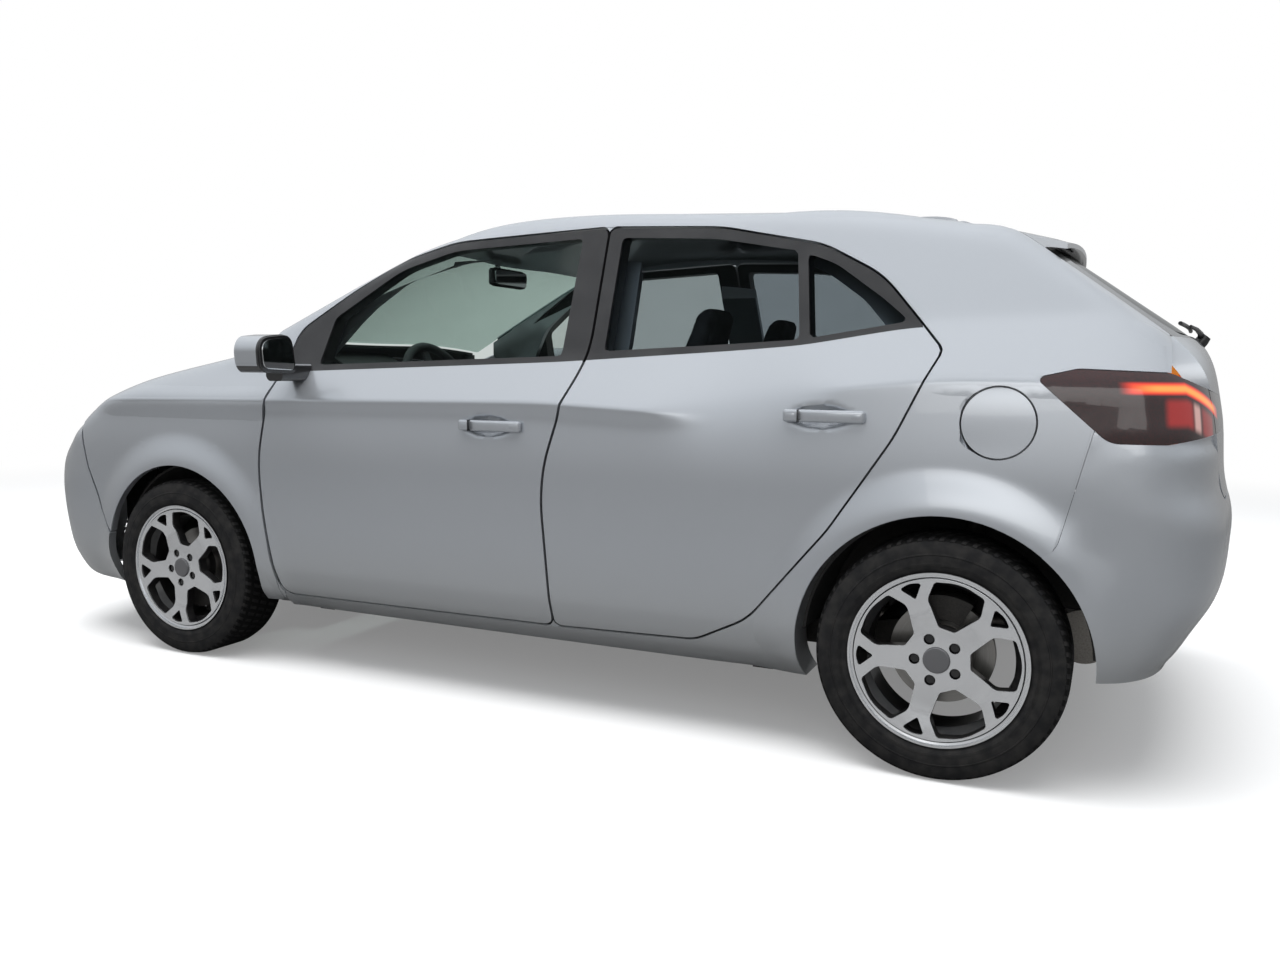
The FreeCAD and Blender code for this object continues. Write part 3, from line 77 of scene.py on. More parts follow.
camera_data = bpy.data.cameras.new("camera")
camera_data.lens = CAMERA_LENS
camera_data.sensor_width = 36
camera = add_object("camera", camera_data)
right, up, ahead = camera_axes(CAMERA_YAW, CAMERA_PITCH, CAMERA_ROLL)
camera.matrix_world = Matrix((right, up, -ahead)).transposed().to_4x4()
camera.location = CAMERA_PLACE
bpy.context.scene.camera = camera
bpy.context.scene.view_settings.view_transform = "Standard"
print("camera looks along", [round(v, 3) for v in ahead])

# %% [markdown]
# Shader maths reads best as plain expressions. This small class wraps a node's socket, so that `1 - mask *
# 0.4` adds the Math nodes by itself. Its `node` method adds any other node in one line.

# %% Shader expressions
class Shade:
    """A socket of a material's node tree, or a number, with the operators that a maker needs."""

    def __init__(self, tree, socket):
        self.tree = tree
        self.socket = socket

    def node(self, kind, settings=None, out=0, **inputs):
        made = self.tree.nodes.new(kind)
        for name, value in (settings or {}).items():
            setattr(made, name, value)
        for name, value in inputs.items():
            key = int(name[1:]) if name[1:].isdigit() and name[0] == "i" else name.replace("_", " ")
            if isinstance(value, Shade):
                self.tree.links.new(value.socket, made.inputs[key])
            else:
                made.inputs[key].default_value = value
        return Shade(self.tree, made.outputs[out])

    def math(self, operation, *values):
        numbered = {f"i{k}": value for k, value in enumerate(values)}
        return self.node("ShaderNodeMath", {"operation": operation}, **numbered)

    def of(self, operation, *others):
        """Any other operation of the Math node on this value."""
        return self.math(operation, self, *others)

    def __add__(self, other):
        return self.math("ADD", self, other)

    def __sub__(self, other):
        return self.math("SUBTRACT", self, other)

    def __mul__(self, other):
        return self.math("MULTIPLY", self, other)

    def __truediv__(self, other):
        return self.math("DIVIDE", self, other)

    def __rsub__(self, other):
        return self.math("SUBTRACT", other, self)

    __radd__ = __add__
    __rmul__ = __mul__

    def ramp(self, low, high):
        """Goes smoothly from 0 to 1 as the value goes from low to high."""
        return self.node("ShaderNodeMapRange", {"interpolation_type": "SMOOTHSTEP"}, i0=self, i1=low, i2=high)

    def slope(self, low, high):
        """Goes straight from 0 to 1 as the value goes from low to high."""
        return self.node("ShaderNodeMapRange", None, i0=self, i1=low, i2=high)

    def between(self, low, high, soft):
        """One between two values, and zero outside them."""
        return self.ramp(low - soft, low + soft) * (1 - self.ramp(high - soft, high + soft))

    def mix(self, first, second):
        """The first colour where this is 0, the second where it is 1."""
        made = self.tree.nodes.new("ShaderNodeMix")
        made.data_type = "RGBA"
        self.tree.links.new(self.socket, made.inputs[0])
        for slot, colour in ((6, first), (7, second)):
            if isinstance(colour, Shade):
                self.tree.links.new(colour.socket, made.inputs[slot])
            else:
                made.inputs[slot].default_value = (*colour, 1)
        return Shade(self.tree, made.outputs[2])


def start_material(name):
    """An empty material, its output node, and a Shade on the piece's own Object coordinates."""
    material = bpy.data.materials.new(name)
    material.use_nodes = True
    tree = material.node_tree
    tree.nodes.clear()
    output = tree.nodes.new("ShaderNodeOutputMaterial")
    place = Shade(tree, tree.nodes.new("ShaderNodeTexCoord").outputs["Object"])
    return material, tree, output, place


def principled(tree, output, constants, **varying):
    """A Principled shader with plain numbers on its sockets and links for what varies over the surface."""
    shader = tree.nodes.new("ShaderNodeBsdfPrincipled")
    for name, value in constants.items():
        shader.inputs[name].default_value = (*value, 1) if isinstance(value, tuple) else value
    for name, value in varying.items():
        tree.links.new(value.socket, shader.inputs[name.replace("_", " ")])
    tree.links.new(shader.outputs[0], output.inputs[0])
    return shader


def noise(place, scale, detail):
    return place.node("ShaderNodeTexNoise", None, 0, Vector=place, Scale=scale, Detail=detail)


def bump(place, height, strength, distance):
    return place.node("ShaderNodeBump", None, 0, Height=height, Strength=strength, Distance=distance)


def xyz(place):
    """The three numbers of a place."""
    return (place.node("ShaderNodeSeparateXYZ", None, k, Vector=place) for k in range(3))


def blended(tree, factor, first, second):
    """The first shader where the factor is 0, the second where it is 1."""
    made = tree.nodes.new("ShaderNodeMixShader")
    for socket, k in ((factor.socket, 0), (first.outputs[0], 1), (second.outputs[0], 2)):
        tree.links.new(socket, made.inputs[k])
    return made


# %% [markdown]
# The paint is silver: fine metal flakes under clear lacquer. The flakes vary the colour and roughness a
# little, a very soft bump is the lacquer's orange peel, and dust dulls the lowest stretch near the road.
# That stretch is also tinted beige: partly dust, partly a painted reflection of the ground.

# %% Silver paint
def silver_paint(name, black=None):
    """Silver all over, or gloss black where a function of x, y and z says 1."""
    material, tree, output, place = start_material(name)
    flakes = noise(place, 900.0, 1.0)
    cloud = noise(place, 2.2, 3.0)
    height = place.node("ShaderNodeSeparateXYZ", None, 2, Vector=place)
    low = 1 - height.ramp(0.18, 0.55)
    grain = (flakes - 0.5) * 0.10 + (cloud - 0.5) * 0.05 + 0.5
    colour = grain.mix((0.40, 0.425, 0.46), (0.62, 0.645, 0.68))
    # A beige tint towards the bottom: partly dust, partly a painted reflection of the ground.
    dust_and_reflection = (low * 0.35).mix(colour, (0.36, 0.35, 0.31))
    rough = (flakes - 0.5) * 0.08 + low * 0.14 + 0.30
    peel = bump(place, noise(place, 160.0, 1.0), 0.02, 0.0006)
    lacquer = {"Metallic": 0.75, "Coat Weight": 1.0, "Coat Roughness": 0.03, "Coat IOR": 1.5}
    shader = principled(tree, output, lacquer, Roughness=rough, Normal=peel)
    if black:
        mask = black(*xyz(place))
        dust_and_reflection = mask.mix(dust_and_reflection, (0.010, 0.010, 0.011))
        tree.links.new((0.75 - mask * 0.75).socket, shader.inputs["Metallic"])
    tree.links.new(dust_and_reflection.socket, shader.inputs["Base Color"])
    return material


# %% [markdown]
# Most other finishes are one Principled shader with a little variation: moulded plastic has a fine grain,
# rubber is dull with scuffs, cast and pressed steel is uneven. One function makes them from a few numbers.

# %% Plain finishes
def finish(name, dark, light, roughness, metallic=0.0, grain=60.0, relief=0.0, spread=0.06, coat=0.0):
    material, tree, output, place = start_material(name)
    cloud = noise(place, grain * 0.12, 4.0)
    fine = noise(place, grain * 10, 2.0)
    mixed = cloud * 0.6 + fine * 0.4
    colour = mixed.ramp(0.3, 0.7).mix(dark, light)
    rough = (mixed - 0.5) * spread * 2 + roughness
    surface = bump(place, fine, 0.35, relief or 0.00002)
    principled(tree, output, {"Metallic": metallic, "Coat Weight": coat, "Coat Roughness": 0.05},
               Base_Color=colour, Roughness=rough, Normal=surface)
    return material


# %% [markdown]
# Real window glass is thin: light goes straight through and is tinted. A pane seen nearly edge-on reflects
# more, so the share of the glossy shader grows with the fifth power of how far it is turned away.

# %% Window glass
def window_glass(name, tint, dark=0.0):
    """Clear toughened glass: tinted light passes, and more is reflected at a flat angle."""
    material, tree, output, place = start_material(name)
    dust = noise(place, 6.0, 3.0)
    clear = tree.nodes.new("ShaderNodeBsdfTransparent")
    clear.inputs[0].default_value = (*tint, 1)
    gloss = principled(tree, output, {"Base Color": (0.012, 0.016, 0.015), "Roughness": 0.02})
    facing = place.node("ShaderNodeLayerWeight", None, 1, Blend=0.5)
    amount = facing.of("POWER", 5.0) * 0.9 + 0.04 + (dust - 0.5) * 0.03 + dark
    tree.links.new(blended(tree, amount, clear, gloss).outputs[0], output.inputs[0])
    return material


# %% [markdown]
# Wheels and tyres spin, but their materials use the place at rest. The distance from the axle gives the
# ring that a point is on: machined faces, hub cap, brake disc, rim, sidewall ribs or tread.

# %% Wheels and tyres
AXLE_HEIGHT, FRONT_WHEEL_X, REAR_WHEEL_X, WHEEL_MIDDLE_Y = 0.308, 1.1885, -1.3815, 0.775


def two_tone_wheel():
    """Machined bright faces on black: bright is what lies on the wheel's own outer profile."""
    material, tree, output, place = start_material("two_tone_alloy")
    x, y, z = xyz(place)
    up = z - AXLE_HEIGHT
    fore, aft = (((x - axle) * (x - axle) + up * up).of("SQRT") for axle in (FRONT_WHEEL_X, REAR_WHEEL_X))
    radius = fore.of("MINIMUM", aft)
    depth = y.of("ABSOLUTE") - WHEEL_MIDDLE_Y
    profile = 0.086 - radius.slope(0.064, 0.130) * 0.008 + radius.slope(0.130, 0.188) * 0.012
    bright = depth.ramp(profile - 0.0042, profile - 0.0026) * (1 - radius.ramp(0.2185, 0.2195))
    cap = 1 - radius.ramp(0.033, 0.034)
    disc = (1 - depth.ramp(-0.001, 0.004)) * (1 - radius.ramp(0.131, 0.133))
    turned = noise(radius * 900.0, 1.0, 1.0)
    grime = noise(place, 40.0, 3.0)
    steel = turned.ramp(0.2, 0.8).mix((0.22, 0.21, 0.20), (0.40, 0.39, 0.37))
    face = turned.ramp(0.2, 0.8).mix((0.80, 0.81, 0.83), (0.93, 0.94, 0.95))
    black = grime.ramp(0.3, 0.8).mix((0.008, 0.008, 0.009), (0.022, 0.021, 0.020))
    colour = bright.mix(disc.mix(black, steel), face)
    colour = cap.mix(colour, (0.10, 0.10, 0.105))
    shiny = (bright + disc).of("MINIMUM", 1.0) * (1 - cap)
    principled(tree, output, {"Coat Weight": 0.3, "Coat Roughness": 0.08}, Base_Color=colour,
               Metallic=shiny * 0.95, Roughness=0.34 - bright * 0.10 + (grime - 0.5) * 0.1)
    return material


def tyre_rubber():
    """Rubber with ribs round the sidewall and grooves across the tread."""
    material, tree, output, place = start_material("tyre_rubber")
    x, y, z = xyz(place)
    up = z - AXLE_HEIGHT
    front = x.ramp(-0.01, 0.01)
    along = x - FRONT_WHEEL_X * front - REAR_WHEEL_X * (1 - front)
    radius = (along * along + up * up).of("SQRT")
    turn = up.of("ARCTAN2", along)
    across = y.of("ABSOLUTE") - WHEEL_MIDDLE_Y
    tread = radius.ramp(0.2955, 0.2985)
    blocks = (turn * 72.0 + across * 90.0).of("SINE").ramp(-0.1, 0.35)
    grooves = (across * 150.0).of("COSINE").ramp(-0.75, -0.45)
    ribs = (radius * 2600.0).of("SINE").ramp(-0.4, 0.4) * radius.between(0.235, 0.243, 0.002)
    bead = radius.between(0.262, 0.266, 0.001)
    height = tread * blocks * grooves + (1 - tread) * (ribs * 0.25 + bead * 0.5)
    dust = noise(place, 30.0, 4.0)
    colour = dust.ramp(0.3, 0.75).mix((0.012, 0.012, 0.013), (0.028, 0.027, 0.026))
    # The tread's grooves are only a bump, so they are painted near black: painted shade in the recesses.
    colour = (tread * (1 - blocks * grooves)).mix(colour, (0.004, 0.004, 0.004))
    principled(tree, output, {"Specular IOR Level": 0.18}, Base_Color=colour,
               Roughness=(dust - 0.5) * 0.2 + 0.74, Normal=bump(place, height, 1.0, 0.004))
    return material


# %% [markdown]
# The lamps are solid lenses in the CAD model, so what lies behind them is painted on: a lit bar and
# coloured fields at the back, and a reflector bowl with a light blade at the front.

# %% Lamps
def tail_lamp_lens():
    """A dark lens with a lit orange bar along its top, a red field and a pale one by the tailgate's edge."""
    material, tree, output, place = start_material("tail_lamp_lens")
    x, y, z = xyz(place)
    back = 0.0 - x + (0.70 - y.of("ABSOLUTE")) * 0.75
    below = 1.014 - back.slope(1.84, 2.06) * 0.065 - back.slope(1.66, 1.58) * 0.010 - z
    ribs = noise(place, 260.0, 1.0)
    bar = below.between(0.020, 0.046, 0.004) * back.ramp(1.655, 1.70) * (1 - back.ramp(2.02, 2.06))
    core = below.between(0.026, 0.040, 0.005) * back.ramp(1.67, 1.76) * (1 - back.ramp(1.99, 2.03))
    field = below.between(0.058, 0.118, 0.010)
    red = field * back.between(1.775, 1.862, 0.012) + field * back.between(1.905, 1.975, 0.012) * 0.8
    pale = field * back.between(1.868, 1.895, 0.006)
    glow = bar.mix((0.0, 0.0, 0.0), (0.85, 0.030, 0.008))
    glow = core.mix(glow, (1.0, 0.36, 0.06))
    glow = (red * 0.8).mix(glow, (0.34, 0.010, 0.008))
    glow = (pale * 0.9).mix(glow, (0.55, 0.33, 0.30))
    dark = ribs.ramp(0.3, 0.7).mix((0.012, 0.004, 0.004), (0.030, 0.006, 0.006))
    principled(tree, output, {"Emission Strength": 1.15, "Coat Weight": 1.0, "Coat Roughness": 0.02},
               Base_Color=dark, Roughness=(ribs - 0.5) * 0.06 + 0.14, Emission_Color=glow)
    return material


def headlamp_lens():
    """Clear cover over a dark box, with a bright reflector bowl and a thin light blade along the top."""
    material, tree, output, place = start_material("headlamp_lens")
    _, y, z = xyz(place)
    wide = y.of("ABSOLUTE")
    off = (wide - 0.66) * (wide - 0.66) + (z - 0.755) * (z - 0.755) * 1.3
    bowl = 1 - off.of("SQRT").ramp(0.040, 0.046)
    ring = off.of("SQRT").between(0.050, 0.056, 0.002)
    blade = (z + (wide - 0.6) * -0.22).between(0.792, 0.806, 0.003)
    ribs = noise(place, 120.0, 1.0)
    dark = ribs.ramp(0.3, 0.7).mix((0.020, 0.021, 0.023), (0.055, 0.057, 0.060))
    bright = (bowl + ring + blade).of("MINIMUM", 1.0)
    colour = bright.mix(dark, (0.72, 0.74, 0.77))
    principled(tree, output, {"Coat Weight": 1.0, "Coat Roughness": 0.01}, Base_Color=colour,
               Metallic=bright * 0.8, Roughness=(ribs - 0.5) * 0.05 + 0.10)
    return material


# %% The finishes by name
PAINT = silver_paint("silver_paint")
TAILGATE_PAINT = silver_paint("tailgate_paint", lambda x, y, z: z.ramp(1.103, 1.105))
BUMPER_PAINT = silver_paint(
    "bumper_paint", lambda x, y, z: (1 - z.ramp(0.470, 0.473)) * (1 - y.of("ABSOLUTE").ramp(0.50, 0.503)))
MIRROR_PAINT = silver_paint(
    "mirror_paint", lambda x, y, z: 1 - x.ramp(0.6475, 0.6485) * z.ramp(1.0115, 1.0125))
BLACK_TRIM = finish("black_trim", (0.010, 0.010, 0.011), (0.020, 0.020, 0.021), 0.36, grain=90, coat=0.2)
GLOSS_BLACK = finish("gloss_black", (0.008, 0.008, 0.009), (0.014, 0.014, 0.015), 0.12, coat=0.6)
GRAINED_BLACK = finish("grained_black", (0.018, 0.018, 0.019), (0.034, 0.034, 0.035), 0.55,
                       grain=120, relief=0.0003)
RUBBER = tyre_rubber()
UNDERBODY = finish("underbody_coat", (0.020, 0.020, 0.021), (0.045, 0.043, 0.040), 0.8,
                   grain=30, relief=0.0008)
DASH = finish("dash_plastic", (0.030, 0.031, 0.034), (0.052, 0.053, 0.056), 0.62, grain=150, relief=0.0004)
FABRIC = finish("seat_cloth", (0.030, 0.032, 0.036), (0.070, 0.073, 0.080), 0.92, grain=220, relief=0.0010)
CAST = finish("cast_metal", (0.20, 0.20, 0.20), (0.34, 0.34, 0.33), 0.5,
              metallic=0.8, grain=40, relief=0.0006)
CHASSIS = finish("chassis_steel", (0.020, 0.020, 0.020), (0.06, 0.055, 0.05), 0.6, metallic=0.3, grain=30)
EXHAUST = finish("exhaust_steel", (0.22, 0.20, 0.18), (0.42, 0.40, 0.37), 0.38, metallic=1.0, grain=20)
ALLOY = two_tone_wheel()
FRONT_GLASS = window_glass("front_side_glass", (0.79, 0.82, 0.81))
REAR_SIDE_GLASS = window_glass("rear_side_glass", (0.62, 0.65, 0.665))
SCREEN_GLASS = window_glass("windscreen_glass", (0.74, 0.82, 0.79))
DARK_GLASS = window_glass("dark_glass", (0.30, 0.34, 0.33), 0.10)
RED_LENS = tail_lamp_lens()
CLEAR_LENS = headlamp_lens()
MIRROR_GLASS = finish("mirror_glass", (0.75, 0.77, 0.78), (0.80, 0.82, 0.83), 0.03,
                      metallic=1.0, spread=0.01)
print("finishes:", len(bpy.data.materials))

# %% [markdown]
# The CAD nodes arrive as loose flat triangles. Their shapes are right, so they stay as they are and get two
# things: a finish for each material slot, and a small Geometry Nodes modifier that joins the triangles and
# shades them smoothly wherever two of them meet at less than an angle.

# %% Smooth shading for the CAD nodes
def smoothing_tree():
    tree = bpy.data.node_groups.new("join_and_smooth", "GeometryNodeTree")
    tree.interface.new_socket("Geometry", in_out="INPUT", socket_type="NodeSocketGeometry")
    edge = tree.interface.new_socket("Sharpest smooth edge", in_out="INPUT", socket_type="NodeSocketFloat")
    edge.default_value = 0.6
    tree.interface.new_socket("Geometry", in_out="OUTPUT", socket_type="NodeSocketGeometry")
    start = tree.nodes.new("NodeGroupInput")
    end = tree.nodes.new("NodeGroupOutput")
    merge = tree.nodes.new("GeometryNodeMergeByDistance")
    merge.inputs["Distance"].default_value = 0.00001
    faces = tree.nodes.new("GeometryNodeSetShadeSmooth")
    edges = tree.nodes.new("GeometryNodeSetShadeSmooth")
    edges.domain = "EDGE"
    angle = tree.nodes.new("GeometryNodeInputMeshEdgeAngle")
    compare = tree.nodes.new("FunctionNodeCompare")
    compare.operation = "LESS_THAN"
    for source, out, target, into in ((start, 0, merge, 0), (merge, 0, faces, 0), (faces, 0, edges, 0),
                                      (angle, 0, compare, 0), (start, 1, compare, 1),
                                      (compare, 0, edges, "Shade Smooth"), (edges, 0, end, 0)):
        tree.links.new(source.outputs[out], target.inputs[into])
    return tree


SMOOTHING = smoothing_tree()
FINISH_OF_SLOT = {
    "paint": PAINT, "underbody": UNDERBODY, "windscreen_glass": SCREEN_GLASS, "side_glass": FRONT_GLASS,
    "dark_glass": DARK_GLASS, "black_plastic": GRAINED_BLACK, "clear_lens": CLEAR_LENS, "red_lens": RED_LENS,
    "dash_plastic": DASH, "seat_fabric": FABRIC, "cast_metal": CAST, "chassis_steel": CHASSIS,
    "exhaust_steel": EXHAUST, "mirror_housing": MIRROR_PAINT, "machined_alloy": ALLOY, "tyre": RUBBER,
}
for name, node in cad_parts.items():
    for slot in node.material_slots:
        key = slot.material.name.split(".")[0] if slot.material else ""
        slot.material = FINISH_OF_SLOT.get(key, PAINT)
    node.modifiers.new("join_and_smooth", "NODES").node_group = SMOOTHING
SPECIAL = [("tailgate", PAINT, TAILGATE_PAINT), ("rear_bumper", PAINT, BUMPER_PAINT),
           ("glass_rear_left", FRONT_GLASS, REAR_SIDE_GLASS),
           ("glass_rear_right", FRONT_GLASS, REAR_SIDE_GLASS)]
for name, usual, special in SPECIAL:
    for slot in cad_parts[name].material_slots:
        if slot.material == usual:
            slot.material = special
print("slots used:", sorted({s.material.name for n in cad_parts.values() for s in n.material_slots}))

# %% [markdown]
# The painted panels follow one formula, in millimetres: a side, a top, a nose and a tail with rounded
# meetings. A ray from inside the car finds the surface, so any outline drawn on the side view becomes a
# smooth panel.

# %% The body's formula
LENGTH, WIDTH, HEIGHT, AXLE_Z, ARCH = 4113.0, 1797.0, 1510.0, 308.0, 360.0
TAIL, NOSE = -LENGTH / 2, LENGTH / 2
REAR_AXLE, FRONT_AXLE = TAIL + 675, TAIL + 675 + 2570
FAN_Y, FAN_Z, FAN_SPREAD = 250.0, 640.0, 850.0


def bend(t, r):
    return (t + np.hypot(t, r)) / 2


def ease(t):
    t = np.clip(t, 0, 1)
    return t * t * (3 - 2 * t)


def soft_line(points):
    def value(t):
        slope = (points[1][1] - points[0][1]) / (points[1][0] - points[0][0])
        total = points[0][1] + slope * (t - points[0][0])
        for (ta, va, r), (tb, vb, _) in zip(points[1:], points[2:]):
            after = (vb - va) / (tb - ta)
            total = total + (after - slope) * bend(t - ta, r)
            slope = after
        return total
    return value


def soft_max(a, b, h):
    m = np.maximum(h - np.abs(a - b), 0) / h
    return np.maximum(a, b) + m ** 3 * h / 6


shoulder_line = soft_line([(-1900, 990, 0), (-1360, 999, 80), (-950, 955, 90), (-730, 893, 60),
                           (-260, 917, 90), (700, 903, 0)])
belt_line = soft_line([(-1700, 1160, 0), (-1260, 1142, 60), (-990, 1095, 60), (-277, 1048, 60),
                       (900, 1004, 0)])
top_line = soft_line([(TAIL - 80, 1000, 0), (TAIL + 84, 1098, 12), (TAIL + 512, 1406, 16),
                      (TAIL + 950, HEIGHT - 32, 150), (-250, HEIGHT + 3, 220), (60, HEIGHT - 2, 180),
                      (405, HEIGHT - 66, 120), (1175, 1078, 30), (1600, 1003, 120), (1800, 932, 90),
                      (1930, 842, 50), (2060, 716, 0)])
nose_line = soft_line([(180, NOSE - 95, 0), (260, NOSE - 40, 25), (440, NOSE + 1, 60),
                       (560, NOSE + 7, 40), (640, NOSE - 9, 40), (740, NOSE - 50, 30), (860, NOSE - 120, 0)])
tail_line = soft_line([(230, TAIL + 150, 0), (370, TAIL + 70, 30), (480, TAIL + 3, 40), (670, TAIL - 5, 30),
                       (735, TAIL + 22, 12), (900, TAIL + 34, 30), (1000, TAIL + 54, 30),
                       (1095, TAIL + 80, 20), (1300, TAIL + 110, 0)])


def half_width(x, z):
    crease = shoulder_line(x)
    belt = np.maximum(belt_line(x), crease + 60)
    sharp = ease((x + 850) / 300)
    haunch = ease((-900 - x) / 250)
    rounding = 4 + 60 * (1 - np.maximum(sharp, haunch))
    under = 0.35 * sharp
    y = WIDTH / 2 - 65.5 + (z - 260) - 0.75 * bend(z - 260, 20) - 0.20 * bend(z - 345, 14)
    y = y - 0.15 * bend(z - 740, 70) + under * bend(z - crease + 42, 14)
    y = y - (0.65 + under) * bend(z - crease, rounding) + 0.30 * bend(z - belt, 15) - 9 * (x / 1200) ** 2
    for axle in (FRONT_AXLE, REAR_AXLE):
        y = y + 24 * (1 - ease((np.hypot(x - axle, z - AXLE_Z) - ARCH) / 120))
    return y


def field(x, y, z):
    """Below zero inside the body."""
    y = np.abs(y)
    wrap = ease((x + 700) / 1000)
    swept = x + (0.28 * wrap - 0.16 * (1 - wrap)) * y * y / 1000
    side = y - half_width(x, z)
    top = z - top_line(swept) + 0.055 * y * y / 1000
    nose = x - nose_line(z) + 0.15 * y * y / 1000
    tail = tail_line(z) + 0.13 * y * y / 1000 - x
    return soft_max(soft_max(soft_max(side, nose, 400), tail, 280), top, 70)


def reach(start, way):
    """The points where rays from inside the body leave it."""
    start, way = np.broadcast_arrays(np.asarray(start, float), np.asarray(way, float))
    near, far = np.zeros(len(start)), np.full(len(start), 1500.0)
    for _ in range(24):
        mid = (near + far) / 2
        p = start + way * mid[:, None]
        out = field(p[:, 0], p[:, 1], p[:, 2]) > 0
        far, near = np.where(out, mid, far), np.where(out, near, mid)
    return start + way * near[:, None]


def outward(p):
    """The surface's outward direction at points near it."""
    steps = np.eye(3)
    slope = np.stack([field(*(p + s).T) - field(*(p - s).T) for s in steps], axis=1)
    return slope / np.linalg.norm(slope, axis=1)[:, None]


def unrolled(p):
    """Points of the surface laid flat: x, and the angle round a line inside the car times a radius."""
    return np.stack([p[:, 0], FAN_SPREAD * np.arctan2(p[:, 2] - FAN_Z, p[:, 1] - FAN_Y)], axis=1)


def side_to_flat(points):
    return unrolled(reach([(x, 0, z) for x, z in points], (0, 1, 0)))


def top_to_flat(points):
    return unrolled(reach([(x, y, 600) for x, y in points], (0, 0, 1)))


def flat_to_side(flat):
    angle = flat[:, 1] / FAN_SPREAD
    start = np.stack([flat[:, 0], np.full(len(flat), FAN_Y), np.full(len(flat), FAN_Z)], axis=1)
    return reach(start, np.stack([np.zeros(len(flat)), np.cos(angle), np.sin(angle)], axis=1))


def trace(points, grow=0.0, step=14.0):
    """A dense line along a closed outline (a, b, corner radius), grown outwards, its corners rounded."""
    area = sum(p[0] * q[1] - q[0] * p[1] for p, q in zip(points, points[1:] + points[:1]))
    turn = 1 if area > 0 else -1
    flat = [np.array(p[:2], float) for p in points]
    corners = []
    for before, here, after, p in zip(flat[-1:] + flat[:-1], flat, flat[1:] + flat[:1], points):
        d1, d2 = (here - before), (after - here)
        d1, d2 = d1 / np.hypot(*d1), d2 / np.hypot(*d2)
        n1, n2 = np.array((d1[1], -d1[0])) * turn, np.array((d2[1], -d2[0])) * turn
        corners.append(here + (n1 + n2) * (grow / (1 + n1 @ n2)))
    line = []
    count = len(corners)
    for i, here in enumerate(corners):
        back, ahead = corners[i - 1] - here, corners[(i + 1) % count] - here
        long_back, long_ahead = np.hypot(*back), np.hypot(*ahead)
        half = math.acos(np.clip(back @ ahead / (long_back * long_ahead), -1, 1)) / 2
        cut = min(points[i][2] / math.tan(half), min(long_back, long_ahead) * 0.49)
        a, b = here + back / long_back * cut, here + ahead / long_ahead * cut
        pieces = max(2, min(14, int(cut * 2 / step) + 1))
        for t in np.linspace(0, 1, pieces):
            line.append((1 - t) ** 2 * a + 2 * t * (1 - t) * here + t * t * b)
    dense = []
    for a, b in zip(line, line[1:] + line[:1]):
        pieces = max(1, int(round(np.hypot(*(b - a)) / step)))
        dense += [a + (b - a) * k / pieces for k in range(pieces)]
    return np.array(dense)


def stretch(line, first, last):
    """The part of a closed line between the points nearest to two given ones, the way the line runs."""
    i, j = (int(np.argmin(np.hypot(*(line - np.array(p)).T))) for p in (first, last))
    return line[i:j + 1] if i <= j else np.vstack([line[i:], line[:j + 1]])


def inside(points, polygon):
    x, y = points[:, 0], points[:, 1]
    result = np.zeros(len(points), bool)
    for (x0, y0), (x1, y1) in zip(polygon, np.roll(polygon, -1, axis=0)):
        crosses = (y0 > y) != (y1 > y)
        result ^= crosses & (x < (x1 - x0) * (y - y0) / (y1 - y0 if y1 != y0 else 1e-9) + x0)
    return result


def within(points, outer, holes):
    """Which points are inside an outline and outside its holes."""
    keep = inside(points, outer)
    for hole in holes:
        keep &= ~inside(points, hole)
    return keep


def fill_outline(outer, holes, guides, across, along, cuts=()):
    """Triangles that fill a flat outline with holes, with points on guide lines and edges along cuts."""
    lines = [outer] + holes
    fixed = np.vstack(lines + list(cuts) + guides)
    low, high = outer.min(axis=0), outer.max(axis=0)
    u, v = np.meshgrid(np.arange(low[0], high[0], across), np.arange(low[1], high[1], along))
    u[1::2] += across / 2
    spare = np.stack([u.ravel(), v.ravel()], axis=1)
    spare = spare[within(spare, outer, holes)]
    room = np.full(len(spare), 1e9)
    for k in range(0, len(fixed), 200):
        gap = spare[:, None, :] - fixed[None, k:k + 200, :]
        room = np.minimum(room, np.hypot(gap[..., 0] / across, gap[..., 1] / along).min(axis=1))
    spare = spare[room > 0.55]
    edges, at = [], 0
    for line in lines:
        edges += [(at + k, at + (k + 1) % len(line)) for k in range(len(line))]
        at += len(line)
    for line in cuts:
        edges += [(at + k, at + k + 1) for k in range(len(line) - 1)]
        at += len(line)
    everything = np.vstack([fixed, spare])
    found = delaunay_2d_cdt([Vector(p) for p in everything], edges, [], 0, 1e-5)
    points = np.array([tuple(p) for p in found[0]])
    triangles = np.array([f for f in found[2] if len(f) == 3])
    middle = points[triangles].mean(axis=1)
    return points, triangles[within(middle, outer, holes)]


def outline_edges(triangles):
    """The edges that only one triangle has, in its own direction."""
    edges = np.vstack([triangles[:, [0, 1]], triangles[:, [1, 2]], triangles[:, [2, 0]]])
    code = edges.min(axis=1) * 10_000_000 + edges.max(axis=1)
    _, first, count = np.unique(code, return_index=True, return_counts=True)
    return edges[first[count == 1]]


def add_piece(name, points_mm, faces, materials, body, replaced=(), slot=None, choose=None):
    """A named piece on one body, its points given in millimetres in the car's own frame."""
    mesh = bpy.data.meshes.new(name)
    corners = [tuple(int(i) for i in face) for face in faces]
    mesh.from_pydata([tuple(p) for p in np.asarray(points_mm) / 1000], [], corners)
    for material in materials:
        mesh.materials.append(material)
    piece = add_object(name, mesh)
    if choose is not None:
        for polygon, index in zip(mesh.polygons, choose):
            polygon.material_index = int(index)
    mesh.validate()
    piece.modifiers.new("join_and_smooth", "NODES").node_group = SMOOTHING
    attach(piece, body)
    if replaced:
        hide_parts(*replaced)
    return piece


def mirrored(points, faces):
    return np.asarray(points) * (1, -1, 1), [tuple(f)[::-1] for f in faces]


